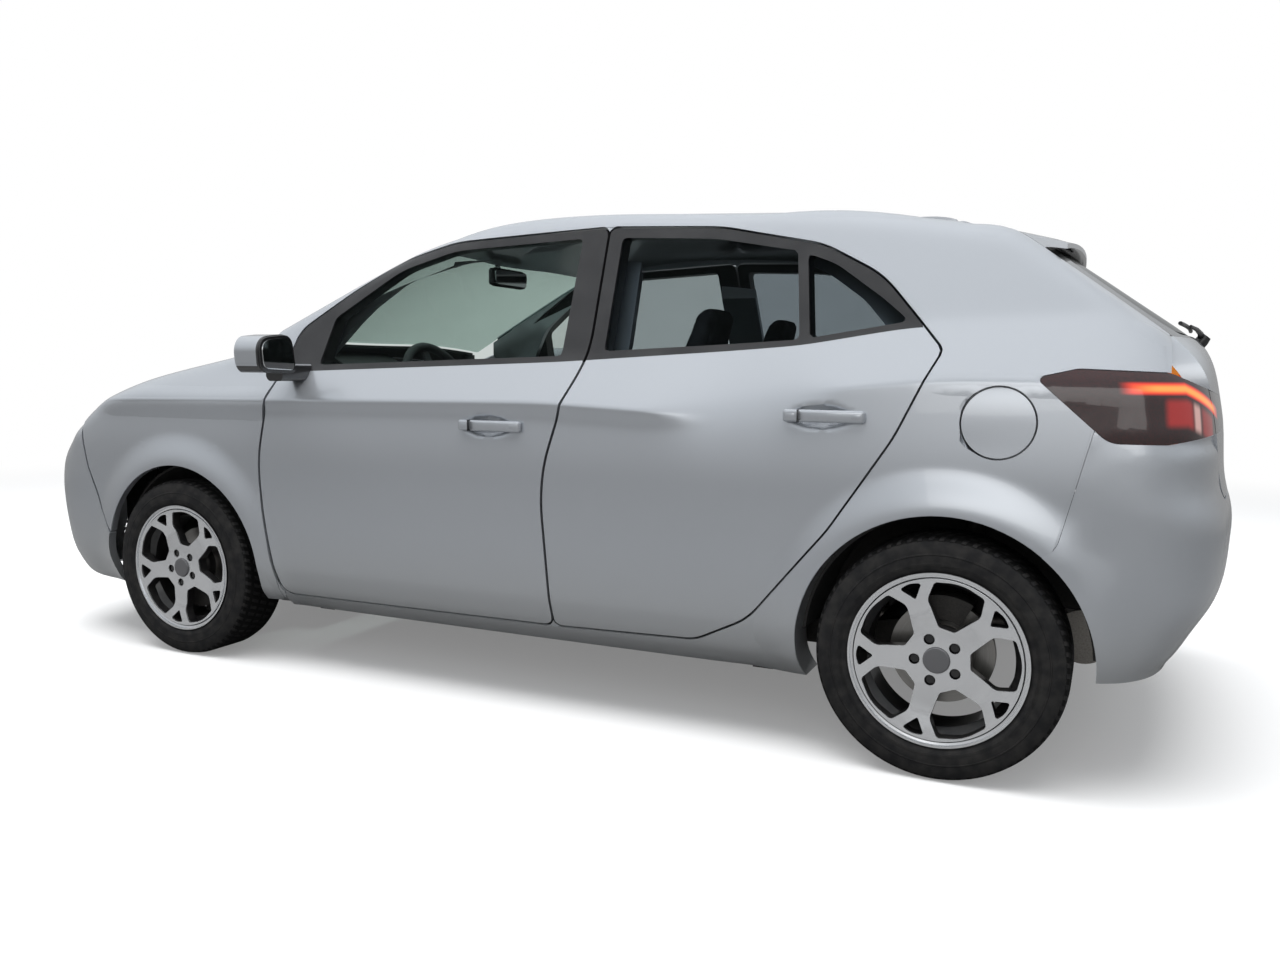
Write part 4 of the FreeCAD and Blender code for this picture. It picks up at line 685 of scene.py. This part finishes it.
def add_on_sides(name, shape, materials, body, slot, replaced="", choose=None, sides=("left", "right")):
    """One piece for each side; the names of its body and of the node it replaces can hold the side."""
    for side in sides:
        points, faces = shape if side == "left" else mirrored(*shape)
        nodes = [replaced.format(side)] if replaced else ()
        add_piece(f"{name}_{side}", points, faces, materials, body.format(side), nodes, slot, choose)


def solid_panel(flat, triangles, place, push, dent=None):
    """Points and faces of a panel: the skin, a copy moved inwards, and the edge between them."""
    skin = place(flat)
    inner = skin + push(skin)
    if dent is not None:
        skin = skin + dent(skin)
    n = len(flat)
    faces = [tuple(t) for t in triangles[:, ::-1]] + [tuple(t) for t in triangles + n]
    edges = outline_edges(triangles)
    faces += [(a, b, b + n, a + n) for a, b in edges]
    kinds = [0] * len(triangles) + [1] * len(triangles) + [2] * len(edges)
    return np.vstack([skin, inner]), faces, np.array(kinds)


# %% [markdown]
# The doors are drawn from the side. Each has its window cut out, a scooped cup behind the handle, pockets
# on the inside for its hinges, and a strip under the glass. The window frames are black, as on the real
# car.

# %% Doors
FRONT_DOOR = [(748, 252, 45), (824, 640, 700), (776, 920, 300), (738, 1132, 90), (557, 1263, 500),
              (400, 1360, 260), (200, 1412, 400), (-343, 1436, 25), (-363, 1046, 500), (-256, 690, 600),
              (-286, 262, 30)]
REAR_DOOR = [(-286, 262, 30), (-256, 690, 600), (-363, 1046, 500), (-343, 1436, 25), (-700, 1422, 500),
             (-1010, 1356, 300), (-1180, 1265, 300), (-1356, 1068, 25), (-1255, 850, 500), (-1100, 610, 400),
             (-885, 353, 200), (-730, 275, 120)]
FRONT_WINDOW = [(618, 1018, 14), (604, 1172, 30), (385, 1326, 260), (190, 1384, 400), (-262, 1404, 14),
                (-276, 1050, 14)]
REAR_WINDOW = [(-408, 1064, 14), (-392, 1402, 14), (-690, 1388, 500), (-935, 1342, 14), (-978, 1096, 14)]
QUARTER_WINDOW = [(-1006, 1100, 10), (-966, 1332, 10), (-1050, 1300, 200), (-1185, 1205, 200),
                  (-1262, 1142, 12)]
TAIL_LAMP = [(-1575, 1003, 10), (-1665, 1024, 60), (-1860, 1016, 40), (-2010, 950, 20), (-1990, 880, 30),
             (-1860, 855, 60), (-1740, 855, 60)]
HANDLES = {"front": (-92, 845), "rear": (-1080, 900)}
HINGE_X = {"front": 745, "rear": -339}
HINGE_HEIGHTS = (600, 780)
DOOR_DEPTH, OVER_HINGE, FRONT_EDGE_DEPTH = 60.0, 5.0, 16.0
BELT_STRIP, CUP_DEPTH, SILL_CREASE_Z = 16, 15, 345


def crease_guides(low, high):
    """Lines along the shoulder crease and the sill crease, so that the triangles follow them."""
    x = np.arange(low, high, 12.0)
    rows = [side_to_flat(np.stack([x, shoulder_line(x) + d], axis=1)) for d in (-48, -36, -9, -3, 3, 9)]
    rows += [side_to_flat(np.stack([x, SILL_CREASE_Z + 0 * x + d], axis=1)) for d in (-8, 8)]
    return rows


def handle_cup(x, z):
    """How far the skin is pressed in behind a handle."""
    def dent(skin):
        across, up = (skin[:, 0] - x - 12) / 88, (skin[:, 2] - z + 2) / 34
        deep = CUP_DEPTH * ease((1 - np.hypot(across, up)) / 0.55)
        return np.stack([0 * deep, -deep, 0 * deep], axis=1)
    return dent


def door_depth(hinge_x):
    """The door's depth, but thin over each hinge and where its front edge swings past the pillar."""
    def push(skin):
        deep = np.full(len(skin), -DOOR_DEPTH)
        for z in HINGE_HEIGHTS:
            deep[(np.abs(skin[:, 2] - z) < 38) & (skin[:, 0] > hinge_x - 26)] = -OVER_HINGE
        far = np.hypot(skin[:, 0] - hinge_x, 46) > 66
        edge = far & (skin[:, 0] > hinge_x) & (skin[:, 2] > 470) & (skin[:, 2] < 890)
        deep[edge] = np.maximum(deep[edge], -FRONT_EDGE_DEPTH)
        return np.stack([0 * deep, deep, 0 * deep], axis=1)
    return push


def make_doors():
    outlines = {"front": (trace(FRONT_DOOR, -3), [FRONT_WINDOW]),
                "rear": (trace(REAR_DOOR, -3), [REAR_WINDOW, QUARTER_WINDOW])}
    front_edge = trace(FRONT_DOOR, 5)
    for end, (line, windows) in outlines.items():
        if end == "rear":
            line = np.array([p + (-2.2 if inside(p[None], front_edge)[0] else 0, 0) for p in line])
        outer, low, high = side_to_flat(line), line[:, 0].min(), line[:, 0].max()
        holes = [side_to_flat(trace(w, 0, 12)) for w in windows]
        guides = [g[within(g, outer, holes)] for g in crease_guides(low, high)]
        under_glass = np.arange(low - 20, high + 20, 14.0)
        belt = side_to_flat(np.stack([under_glass, belt_line(under_glass) - BELT_STRIP], axis=1))
        flat, triangles = fill_outline(outer, holes, guides, 17.0, 11.0, [belt[inside(belt, outer)]])
        points, faces, kinds = solid_panel(flat, triangles, flat_to_side, door_depth(HINGE_X[end]),
                                           handle_cup(*HANDLES[end]))
        middle = np.array([points[list(f)].mean(axis=0) for f in faces])
        above = middle[:, 2] > belt_line(middle[:, 0]) - BELT_STRIP
        door = f"door_{end}_{{}}"
        add_on_sides(f"door_skin_{end}", (points, faces), [PAINT, BLACK_TRIM, DASH], door, "paint", door,
                     np.where(kinds == 1, 2, np.where(above, 1, 0)))
    print("door skins:", len(points), "points on the last one")


make_doors()

# %% [markdown]
# The side frames and the wings get a thin smooth skin over the CAD panel, because their creases and flares
# would show facets. Its outline runs along the shut lines, the arch, the sill, the lamp and the roof's
# edge.

# %% Quarter and wing skins
FLAP_X, FLAP_Z, FLAP_HOLE = -1498, 895, 88.5
SKIN_LIFT, SKIN_THICKNESS, ROOF_SEAM_Y = 1.2, 6, 545.8
BUMPER_EDGE = [(-1622, 583), (-1634, 604), (-1650, 668), (-1701, 882)]
BONNET_EDGE = [(1000, 742), (1060, 736), (1250, 719), (1500, 696), (1620, 664), (1738, 625)]


def polyline(points, step=14.0):
    line = []
    for a, b in zip(points, points[1:]):
        a, b = np.array(a, float), np.array(b, float)
        count = max(1, int(round(np.hypot(*(b - a)) / step)))
        line += [a + (b - a) * k / count for k in range(count)]
    return np.array(line + [np.array(points[-1], float)])


def line_where(xs, limit):
    """For each x, the flat point of the side where its distance from the middle falls to a limit."""
    low, high = np.full(len(xs), FAN_SPREAD * 0.45), np.full(len(xs), FAN_SPREAD * 1.5)
    for _ in range(22):
        mid = (low + high) / 2
        p = flat_to_side(np.stack([xs, mid], axis=1))
        wide = p[:, 1] > limit(p[:, 0], p[:, 2])
        low, high = np.where(wide, mid, low), np.where(wide, high, mid)
    return np.stack([xs, low], axis=1)


def arch_line(axle, radius, start, stop):
    turn = np.radians(np.arange(start, stop, 2.0))
    return np.stack([axle + radius * np.cos(turn), AXLE_Z + radius * np.sin(turn)], axis=1)


def tailgate_side(x, z):
    return np.interp(z, [850, 1000, 1095, 1340, 1490], [640, 668, 640, 585, 565]) + 3.5


def lifted(flat):
    p = flat_to_side(flat)
    return p + outward(p) * SKIN_LIFT


def skin_on_side(name, outer, holes, sides=("left", "right")):
    """A thin smooth skin laid over a CAD panel."""
    low, high = outer[:, 0].min(), outer[:, 0].max()
    guides = [g[within(g, outer, holes)] for g in crease_guides(low, high)]
    flat, triangles = fill_outline(outer, holes, guides, 18.0, 11.0)
    points, faces, _ = solid_panel(flat, triangles, lifted, lambda skin: -SKIN_THICKNESS * outward(skin))
    add_on_sides(name, (points, faces), [PAINT], "root", "paint", sides=sides)


def quarter_outline():
    front, rear = trace(FRONT_DOOR, 3), trace(REAR_DOOR, 3)
    door_line = np.vstack([stretch(front, (765, 1016), (-340, 1439)),
                           stretch(rear, (-350, 1439), (-300, 259)),
                           stretch(front, (-270, 259), (735, 249))])
    sill = polyline([(752, 240), (757, 217), (-1031, 217)])
    arch = arch_line(REAR_AXLE, 361, -14.0, 130.5)
    lamp = stretch(trace(TAIL_LAMP, 1), (-1703, 888), (-1860, 1018))
    below = side_to_flat(np.vstack([door_line, sill, arch, polyline(BUMPER_EDGE)[1:], lamp]))
    up = line_where(np.arange(-1856, -1362, 12.0), tailgate_side)
    rail = line_where(np.append(np.arange(-1361, 304, 14.0), 304), lambda x, z: ROOF_SEAM_Y + 0 * x)
    pillar = line_where(np.arange(306, 856, 12.0), lambda x, z: 552 + (x - 250) * 0.1457)
    base = side_to_flat(polyline([(852, 1054), (770, 1014)]))
    return np.vstack([below, up, rail, pillar, base])


def wing_outline():
    rear = stretch(trace(FRONT_DOOR, 5), (757, 262), (770, 1003))
    shoulder = polyline([(772, 1008), (900, 1069)])
    top = top_to_flat(polyline([(905, 742.5)] + BONNET_EDGE))
    front = polyline([(1738, 905), (1737, 883), (1690, 889), (1676, 887), (1714, 848), (1709, 828),
                      (1657, 640), (1588, 482), (1535, 412)])
    arch = arch_line(FRONT_AXLE, 361, 17.0, 192.0)
    foot = polyline([(834, 233), (762, 236)])
    return np.vstack([side_to_flat(np.vstack([rear, shoulder])), top,
                      side_to_flat(np.vstack([front, arch[1:], foot]))])


def flap_hole():
    """The fuel flap's round hole, a little wider where the opening lid swings past its front corners."""
    turn = np.linspace(0, 2 * math.pi, 72, endpoint=False)
    up = np.abs(FLAP_HOLE * np.sin(turn))
    wider = 9 * ease((up - 20) / 16) * (1 - ease((up - 58) / 16)) * (np.cos(turn) > 0)
    return np.stack([FLAP_X + FLAP_HOLE * np.cos(turn) + wider, FLAP_Z + FLAP_HOLE * np.sin(turn)], axis=1)


def make_side_skins():
    outer = quarter_outline()
    skin_on_side("quarter_skin", outer, [side_to_flat(flap_hole())], ("left",))
    skin_on_side("quarter_skin", outer, [], ("right",))
    skin_on_side("wing_skin", wing_outline(), [])


make_side_skins()

# %% [markdown]
# A door handle is a body-coloured bar on two feet, over its cup. Boxes with rounded edges come up often, so
# one function makes them: it bevels a box and puts it where it goes.

# %% Handles
def rounded_box(low, high, radius, segments=3):
    """Points and faces of a box between two corners with rounded edges, in millimetres."""
    work = bmesh.new()
    bmesh.ops.create_cube(work, size=1.0)
    low, high = Vector(low), Vector(high)
    for v in work.verts:
        v.co = Vector(((low[i] + high[i]) / 2 + v.co[i] * (high[i] - low[i]) for i in range(3)))
    bmesh.ops.bevel(work, geom=list(work.edges), offset=radius, segments=segments, profile=0.5,
                    affect="EDGES")
    return taken_from(work)


def taken_from(work):
    """Points and faces of a bmesh, which is then freed."""
    work.verts.index_update()
    points = np.array([tuple(v.co) for v in work.verts])
    faces = [tuple(v.index for v in f.verts) for f in work.faces]
    work.free()
    return points, faces


def joined(shapes):
    """Several (points, faces) pairs as one."""
    points, faces, at = [], [], 0
    for p, f in shapes:
        points.append(p)
        faces += [tuple(i + at for i in face) for face in f]
        at += len(p)
    return np.vstack(points), faces


def with_mirror(shape):
    """A shape and its mirror image as one."""
    return joined([shape, mirrored(*shape)])


def make_handles():
    for end, (x, z) in HANDLES.items():
        skin = float(reach([(x, 0, z)], (0, 1, 0))[0, 1])
        bar, bar_faces = rounded_box((x - 106, skin + 13, z - 16), (x + 106, skin + 30, z + 16), 8, 4)
        bar[:, 1] -= 13 * np.clip((np.abs(bar[:, 0] - x) - 40) / 66, 0, 1) ** 2
        seam, seam_faces = rounded_box((x + 62, skin + 1, z - 16.4), (x + 64, skin + 30.4, z + 16.4), 0.8, 1)
        feet = [rounded_box((x + s - 15, skin - 14, z - 10), (x + s + 15, skin + 20, z + 10), 4, 2)
                for s in (-84, 84)]
        points, faces = joined([(bar, bar_faces)] + feet + [(seam, seam_faces)])
        marks = [0] * (len(faces) - len(seam_faces)) + [1] * len(seam_faces)
        add_on_sides(f"handle_{end}", (points, faces), [PAINT, BLACK_TRIM], f"door_{end}_{{}}", "paint",
                     choose=marks)


make_handles()

# %% [markdown]
# Seats are padded, so they are blown up as cloth and not drawn. Each pad starts as a rounded block that is
# bent into a cushion with side bolsters. It is remeshed evenly, swollen a little by air pressure in the
# cloth simulation, and pressed in along its sewn channels. One pad is simulated and its twin is its mirror
# image.

# %% Pads
SWELL_LIMIT, AIR_PRESSURE, SWELL_STEPS = 0.024, 4.0, 20
CHANNEL_DEPTH = CHANNEL_WIDTH = 7.0
SEAT_Y, BENCH_HEAD_Y = 360, 340
RAILS_Y = (SEAT_Y + 185, SEAT_Y - 185)


def soft_block(low, high, radius, cells=14):
    """A finely divided block with round edges, in millimetres."""
    work = bmesh.new()
    bmesh.ops.create_cube(work, size=2.0)
    bmesh.ops.subdivide_edges(work, edges=list(work.edges), cuts=cells, use_grid_fill=True)
    unit, faces = taken_from(work)
    low, high = np.array(low, float), np.array(high, float)
    place = (low + high) / 2 + unit * (high - low) / 2
    core = np.clip(place, low + radius, high - radius)
    away = place - core
    return core + away / np.maximum(np.linalg.norm(away, axis=1), 1e-9)[:, None] * radius, faces


def of_each_point(mesh, what):
    values = np.empty(len(mesh.vertices) * 3)
    mesh.vertices.foreach_get(what, values)
    return values.reshape(-1, 3)


def evaluated_points(piece):
    shown = piece.evaluated_get(bpy.context.evaluated_depsgraph_get())
    return of_each_point(shown.data, "co")


def baked(piece):
    """The piece's mesh with its modifiers applied."""
    shown = piece.evaluated_get(bpy.context.evaluated_depsgraph_get())
    mesh = bpy.data.meshes.new_from_object(shown)
    piece.modifiers.clear()
    piece.data = mesh
    return mesh


def blow_up(piece, limit):
    """Swells the mesh as cloth with air inside it; no point moves further than the limit."""
    start = evaluated_points(piece)
    cloth = piece.modifiers.new("blown_up", "CLOTH")
    cloth.settings.use_pressure = True
    cloth.settings.uniform_pressure_force = AIR_PRESSURE
    cloth.settings.effector_weights.gravity = 0.0
    for step in range(1, SWELL_STEPS + 1):
        bpy.context.scene.frame_set(step)
    moved = evaluated_points(piece) - start
    piece.modifiers.clear()
    bpy.context.scene.frame_set(1)
    far = np.linalg.norm(moved, axis=1)
    moved *= np.minimum(1, limit / np.maximum(far, 1e-9))[:, None]
    piece.data.vertices.foreach_set("co", (start + moved).ravel())


def make_pad(name, shape, node, voxel, channels, paired=False):
    """A padded piece in millimetres, with sewn channels where their functions are near zero."""
    points, faces = shape
    mesh = bpy.data.meshes.new(name)
    mesh.from_pydata([tuple(p) for p in points / 1000], [], faces)
    piece = add_object(name, mesh)
    remesh = piece.modifiers.new("even_mesh", "REMESH")
    remesh.mode = "VOXEL"
    remesh.voxel_size = voxel / 1000
    baked(piece)
    blow_up(piece, SWELL_LIMIT)
    finer = piece.modifiers.new("finer", "SUBSURF")
    finer.levels = finer.render_levels = 1
    mesh = baked(piece)
    place, normal = of_each_point(mesh, "co") * 1000, of_each_point(mesh, "normal")
    for channel in channels:
        pressed = CHANNEL_DEPTH * np.exp(-(channel(place) / CHANNEL_WIDTH) ** 2)
        place = place - normal * pressed[:, None]
    points, faces = place, [tuple(f.vertices) for f in mesh.polygons]
    if paired:
        points, faces = with_mirror((points, faces))
    bpy.data.objects.remove(piece)
    piece = add_piece(name, points, faces, [FABRIC], "root", [node], "seat_fabric")
    print(name, "padded,", len(points), "points")


def front_cushion():
    p, faces = soft_block((-318, -236, 352), (205, 236, 424), 30)
    side = np.abs(p[:, 1]) / 236
    up = (p[:, 2] - 352) / 72
    p[:, 2] += up * (30 * ease((side - 0.55) / 0.35) + 22 * ease((p[:, 0] + 250) / 450))
    p[:, 1] += SEAT_Y
    return p, faces


def front_back():
    p, faces = soft_block((0, -230, -42), (640, 230, 42), 32)
    along, side = p[:, 0] / 640, np.abs(p[:, 1]) / 230
    thick = p[:, 2] * (1.15 - 0.35 * along) + np.where(p[:, 2] > 0, 34 * ease((side - 0.58) / 0.32), 0)
    x = -292 - along * 262 + 22 * np.sin(along * math.pi) + thick * 0.92
    z = 392 + along * 600 + thick * 0.38
    return np.stack([x, p[:, 1] * (1 - 0.14 * along ** 2) + SEAT_Y, z], axis=1), faces


def head_pad():
    p, faces = soft_block((-38, -118, 0), (38, 118, 150), 30, 10)
    up = p[:, 2] / 150
    x = p[:, 0] * (1 - 0.2 * up) - 560 - 46 * up
    y = p[:, 1] * (1 - 0.12 * up ** 2) + SEAT_Y
    return np.stack([x, y, 1050 + p[:, 2]], axis=1), faces


def bench_cushion():
    p, faces = soft_block((-995, -588, 342), (-572, 588, 456), 34, 22)
    p[:, 2] += (p[:, 2] - 342) / 114 * 12 * ease((p[:, 0] + 900) / 300)
    return p, faces


def bench_back():
    p, faces = soft_block((0, -488, -36), (520, 488, 36), 30, 20)
    along = p[:, 0] / 520
    x = -1052 - along * 138 + p[:, 2] * 0.96
    return np.stack([x, p[:, 1], 452 + p[:, 0] + p[:, 2] * 0.26], axis=1), faces


def bench_head():
    p, faces = soft_block((-1248, 240, 986), (-1186, 440, 1082), 26, 8)
    p[:, 0] -= (p[:, 2] - 986) * 0.16
    return p, faces


def tube(path, radius, sides=10):
    """Points and faces of a closed round bar along a path, in millimetres."""
    path = np.asarray(path, float)
    way = np.gradient(path, axis=0)
    way /= np.linalg.norm(way, axis=1)[:, None]
    first = np.cross(way, (0.31, 0.17, 0.93))
    first /= np.linalg.norm(first, axis=1)[:, None]
    second = np.cross(way, first)
    turn = np.linspace(0, 2 * math.pi, sides, endpoint=False)
    radius = np.broadcast_to(radius, len(path))
    ring = [p + r * (np.cos(t) * a + np.sin(t) * b)
            for p, r, a, b in zip(path, radius, first, second) for t in turn]
    faces = []
    for i in range(len(path) - 1):
        for k in range(sides):
            a, b = i * sides + k, i * sides + (k + 1) % sides
            faces.append((a, b, b + sides, a + sides))
    faces += [tuple(range(sides))[::-1], tuple(range((len(path) - 1) * sides, len(path) * sides))]
    return np.array(ring), faces


def posts(middle, half, line):
    """Two headrest posts beside a middle line, along a path of (x, z)."""
    return [tube([(x, middle + s * half, z) for x, z in line], 6) for s in (1, -1)]


def make_seats():
    wings = lambda y, half: (lambda p: np.abs(np.abs(p[:, 1] - y) - half))
    lines = lambda axis, values: (lambda p: np.min([np.abs(p[:, axis] - v) for v in values], axis=0))
    make_pad("front_seat_cushions", front_cushion(), "front_seats", 11,
             [wings(SEAT_Y, 150), lines(0, [-110, 70])], paired=True)
    make_pad("front_seat_backs", front_back(), "front_seats", 11,
             [wings(SEAT_Y, 142), lines(2, [600, 780, 930])], paired=True)
    make_pad("front_headrests", head_pad(), "front_seats", 9, [wings(SEAT_Y, 84)], paired=True)
    make_pad("rear_cushion", bench_cushion(), "rear_bench", 14,
             [wings(0, 200), wings(0, 430), lines(0, [-760])])
    make_pad("rear_backrest", bench_back(), "rear_bench", 14, [wings(0, 200), wings(0, 400), lines(2, [700])])
    make_pad("rear_headrests", bench_head(), "rear_bench", 9, [], paired=True)
    bars = posts(SEAT_Y, 62, [(-548, 965), (-566, 1030), (-572, 1075)])
    bars += posts(BENCH_HEAD_Y, 50, [(-1186, 940), (-1200, 980), (-1206, 1010)])
    bars += [rounded_box((-285, y - 18, 206), (190, y + 18, 240), 4, 2) for y in RAILS_Y]
    bars += [rounded_box((x, y - 14, 232), (x + 60, y + 14, 372), 5, 2) for y in RAILS_Y for x in (-250, 90)]
    add_piece("seat_posts_and_rails", *with_mirror(joined(bars)), [CHASSIS], "root", ["front_seats"],
              "chassis_steel")
    shell = rounded_box((-300, SEAT_Y - 222, 330), (170, SEAT_Y + 222, 366), 14, 3)
    add_piece("seat_side_covers", *with_mirror(shell), [DASH], "root", ["front_seats"], "dash_plastic")


make_seats()

# %% [markdown]
# Mirrors come next. Outside, a glass in a black rim sits in the flat back of each housing. Inside, a small
# mirror hangs from the top of the windscreen. Both are flat outlines given a thickness, with their edges
# rounded.

# %% Mirrors
def plate(outline, x, depth):
    """A flat outline of (y, z) points at one x, with a depth and its front edge taken off a little."""
    front = np.array([(x, y, z) for y, z in trace(outline, 0, 8)])
    n = len(front)
    middle = front.mean(axis=0)
    near = middle + (front - middle) * 0.985
    away = np.array((depth, 0, 0), float)
    points = np.vstack([near, front + away * 0.3, front + away])
    faces = [tuple(range(n)), tuple(range(2 * n, 3 * n))[::-1]]
    for k in range(n):
        j = (k + 1) % n
        faces += [(k, k + n, j + n, j), (k + n, k + 2 * n, j + 2 * n, j + n)]
    return turned_out(points, faces)


def turned_out(points, faces):
    """The same closed shape with every face pointing outwards."""
    work = bmesh.new()
    verts = [work.verts.new(tuple(p)) for p in points]
    for face in faces:
        work.faces.new([verts[i] for i in face])
    bmesh.ops.recalc_face_normals(work, faces=list(work.faces))
    return np.asarray(points), taken_from(work)[1]


def make_mirrors():
    rim = plate([(872, 990, 18), (1022, 994, 32), (1030, 1098, 46), (890, 1114, 42)], 633, 9)
    glass = plate([(881, 999, 16), (1013, 1003, 28), (1021, 1090, 38), (898, 1104, 36)], 630.5, 6)
    add_on_sides("mirror_rim", rim, [GLOSS_BLACK], "door_front_{}", "black_plastic")
    add_on_sides("mirror_face", glass, [MIRROR_GLASS], "door_front_{}", "mirror_housing")
    head = turned_out(*soft_block((372, -118, 1318), (404, 118, 1388), 15, 8))
    face = plate([(-108, 1326, 12), (108, 1326, 12), (112, 1380, 14), (-112, 1380, 14)], 369, 5)
    stalk = tube([(396, 0, 1352), (420, 0, 1372), (432, 0, 1400), (436, 0, 1424)], [11, 9, 9, 16])
    points, faces = joined([head, stalk, face])
    marks = [0] * (len(head[1]) + len(stalk[1])) + [1] * len(face[1])
    add_piece("cabin_mirror", points, faces, [DASH, MIRROR_GLASS], "root", (), "dash_plastic", marks)


make_mirrors()

# %% [markdown]
# Some trim lies on the body or hides behind it: the rear wiper follows the glass, dark liners fill the
# space between the front wheels and the bumper, and a radiator stands behind the grille, dark behind its
# bars.

# %% Wiper, liners and radiator
def tail_points(places, out):
    """Points on the tail's surface for each (y, z), moved outwards."""
    p = reach([(-1250, y, z) for y, z in places], (-1, 0, 0))
    return p + outward(p) * np.reshape(out, (-1, 1))


def make_wiper():
    arm = tail_points([(0, 1104), (20, 1112), (120, 1122), (220, 1130)], [12, 24, 22, 18])
    blade = tail_points([(y, 1128 + (y - 60) * 0.03) for y in range(40, 361, 20)], 12.0)
    boss = tail_points([(0, 1100), (0, 1101), (0, 1103)], [2, 14, 32])
    hub = np.array([boss[0], (boss[0] + boss[2]) / 2, boss[2]])
    points, faces = joined([tube(arm, [9, 8, 6, 4]), tube(blade, 5.5, 8), tube(hub, [19, 18, 14], 16)])
    add_piece("rear_wiper", points, faces, [BLACK_TRIM], "tailgate", (), "black_plastic")


def make_liners():
    turn = np.radians(np.arange(-12, 45, 4))
    rows = np.array([[(FRONT_AXLE + r * math.cos(t), y, AXLE_Z + r * math.sin(t)) for t in turn]
                     for y, r in ((600, 366), (742, 366), (742, 370), (600, 370))])
    count = len(turn)
    points = rows.reshape(-1, 3)
    faces = [(a * count + k, b * count + k, b * count + k + 1, a * count + k + 1)
             for a, b in ((0, 1), (1, 2), (2, 3), (3, 0)) for k in range(count - 1)]
    faces += [(0, count, 2 * count, 3 * count), tuple(i * count + count - 1 for i in range(4))]
    liners = with_mirror(turned_out(points, faces))
    add_piece("front_arch_liners", *liners, [UNDERBODY], "root", (), "underbody")
    core = rounded_box((1770, -400, 262), (1796, 400, 690), 6, 2)
    tanks = [rounded_box((1762, s * 425 - 28, 255), (1804, s * 425 + 28, 698), 10, 3) for s in (1, -1)]
    guides = [rounded_box((1762, s * 472 - 4, z), (x, s * 472 + 4, top), 2, 1)
              for s in (1, -1) for z, x, top in ((258, 1938, 560), (558, 1912, 735))]
    points, faces = joined([core] + tanks + guides)
    add_piece("radiator", points, faces, [GRAINED_BLACK], "root", (), "black_plastic")


make_wiper()
make_liners()

# %% [markdown]
# The light is a plain soft studio: a wide panel overhead, a weaker one on the camera's side, and a pale sky
# all round for the paint to reflect. The floor and sky look white to the camera, and the floor keeps the
# shadow.

# %% Floor, sky and lamps
def add_panel_light(name, place, target, size, power, colour):
    data = bpy.data.lights.new(name, "AREA")
    data.shape = "RECTANGLE"
    data.size, data.size_y = size
    data.energy = power
    data.color = colour
    lamp = add_object(name, data)
    lamp.location = place
    lamp.rotation_euler = (Vector(target) - Vector(place)).to_track_quat("-Z", "Y").to_euler()
    lamp.visible_camera = False
    return lamp


def seen_by_camera(tree):
    return Shade(tree, tree.nodes.new("ShaderNodeLightPath").outputs["Is Camera Ray"])


def plain_shader(tree, kind, level, strength=None):
    """A shader of one grey level, with a strength if it shines."""
    made = tree.nodes.new(kind)
    made.inputs[0].default_value = (level, level, level, 1)
    if strength is not None:
        made.inputs[1].default_value = strength
    return made


def white_floor():
    """White to the camera, with the car's shadow; darker to other rays, so the paint's sides stay grey."""
    material, tree, output, place = start_material("pale_floor")
    far = place.node("ShaderNodeVectorMath", {"operation": "LENGTH"}, 1, i0=place).ramp(4.5, 9.0)
    diffuse, emission = "ShaderNodeBsdfDiffuse", "ShaderNodeEmission"
    both = tree.nodes.new("ShaderNodeAddShader")
    tree.links.new(plain_shader(tree, diffuse, 0.62).outputs[0], both.inputs[0])
    tree.links.new(plain_shader(tree, emission, 1.0, 0.22).outputs[0], both.inputs[1])
    bright = blended(tree, far, both, plain_shader(tree, emission, 1.0, 1.0))
    dim = blended(tree, far, plain_shader(tree, diffuse, 0.18), plain_shader(tree, emission, 1.0, 0.30))
    tree.links.new(blended(tree, seen_by_camera(tree), dim, bright).outputs[0], output.inputs[0])
    return material


def studio_sky():
    world = bpy.data.worlds.new("studio_sky")
    world.use_nodes = True
    tree = world.node_tree
    tree.nodes.clear()
    output = tree.nodes.new("ShaderNodeOutputWorld")
    way = Shade(tree, tree.nodes.new("ShaderNodeTexCoord").outputs["Generated"])
    height = way.node("ShaderNodeSeparateXYZ", None, 2, Vector=way)
    sky = height.ramp(-0.05, 0.45).mix((0.50, 0.50, 0.50), (1.02, 1.06, 1.10))
    plain = plain_shader(tree, "ShaderNodeBackground", 1.0, 1.0)
    lit = plain_shader(tree, "ShaderNodeBackground", 1.0, 0.62)
    tree.links.new(sky.socket, lit.inputs[0])
    tree.links.new(blended(tree, seen_by_camera(tree), lit, plain).outputs[0], output.inputs[0])
    return world


bpy.context.scene.world = studio_sky()
floor_mesh = bpy.data.meshes.new("floor")
floor_mesh.from_pydata([(-30, -30, 0), (30, -30, 0), (30, 30, 0), (-30, 30, 0)], [], [(0, 1, 2, 3)])
floor = add_object("floor", floor_mesh)
floor.data.materials.append(white_floor())
overhead = add_panel_light("overhead_panel", (0.2, 0.9, 6.0), (0, 0, 0), (8.0, 6.0), 900, (1.0, 1.0, 1.0))
overhead.visible_glossy = False
add_panel_light("side_panel", (-2.5, 7.0, 3.2), (0, 0, 0.6), (5.0, 2.5), 45, (1.0, 0.99, 0.97))
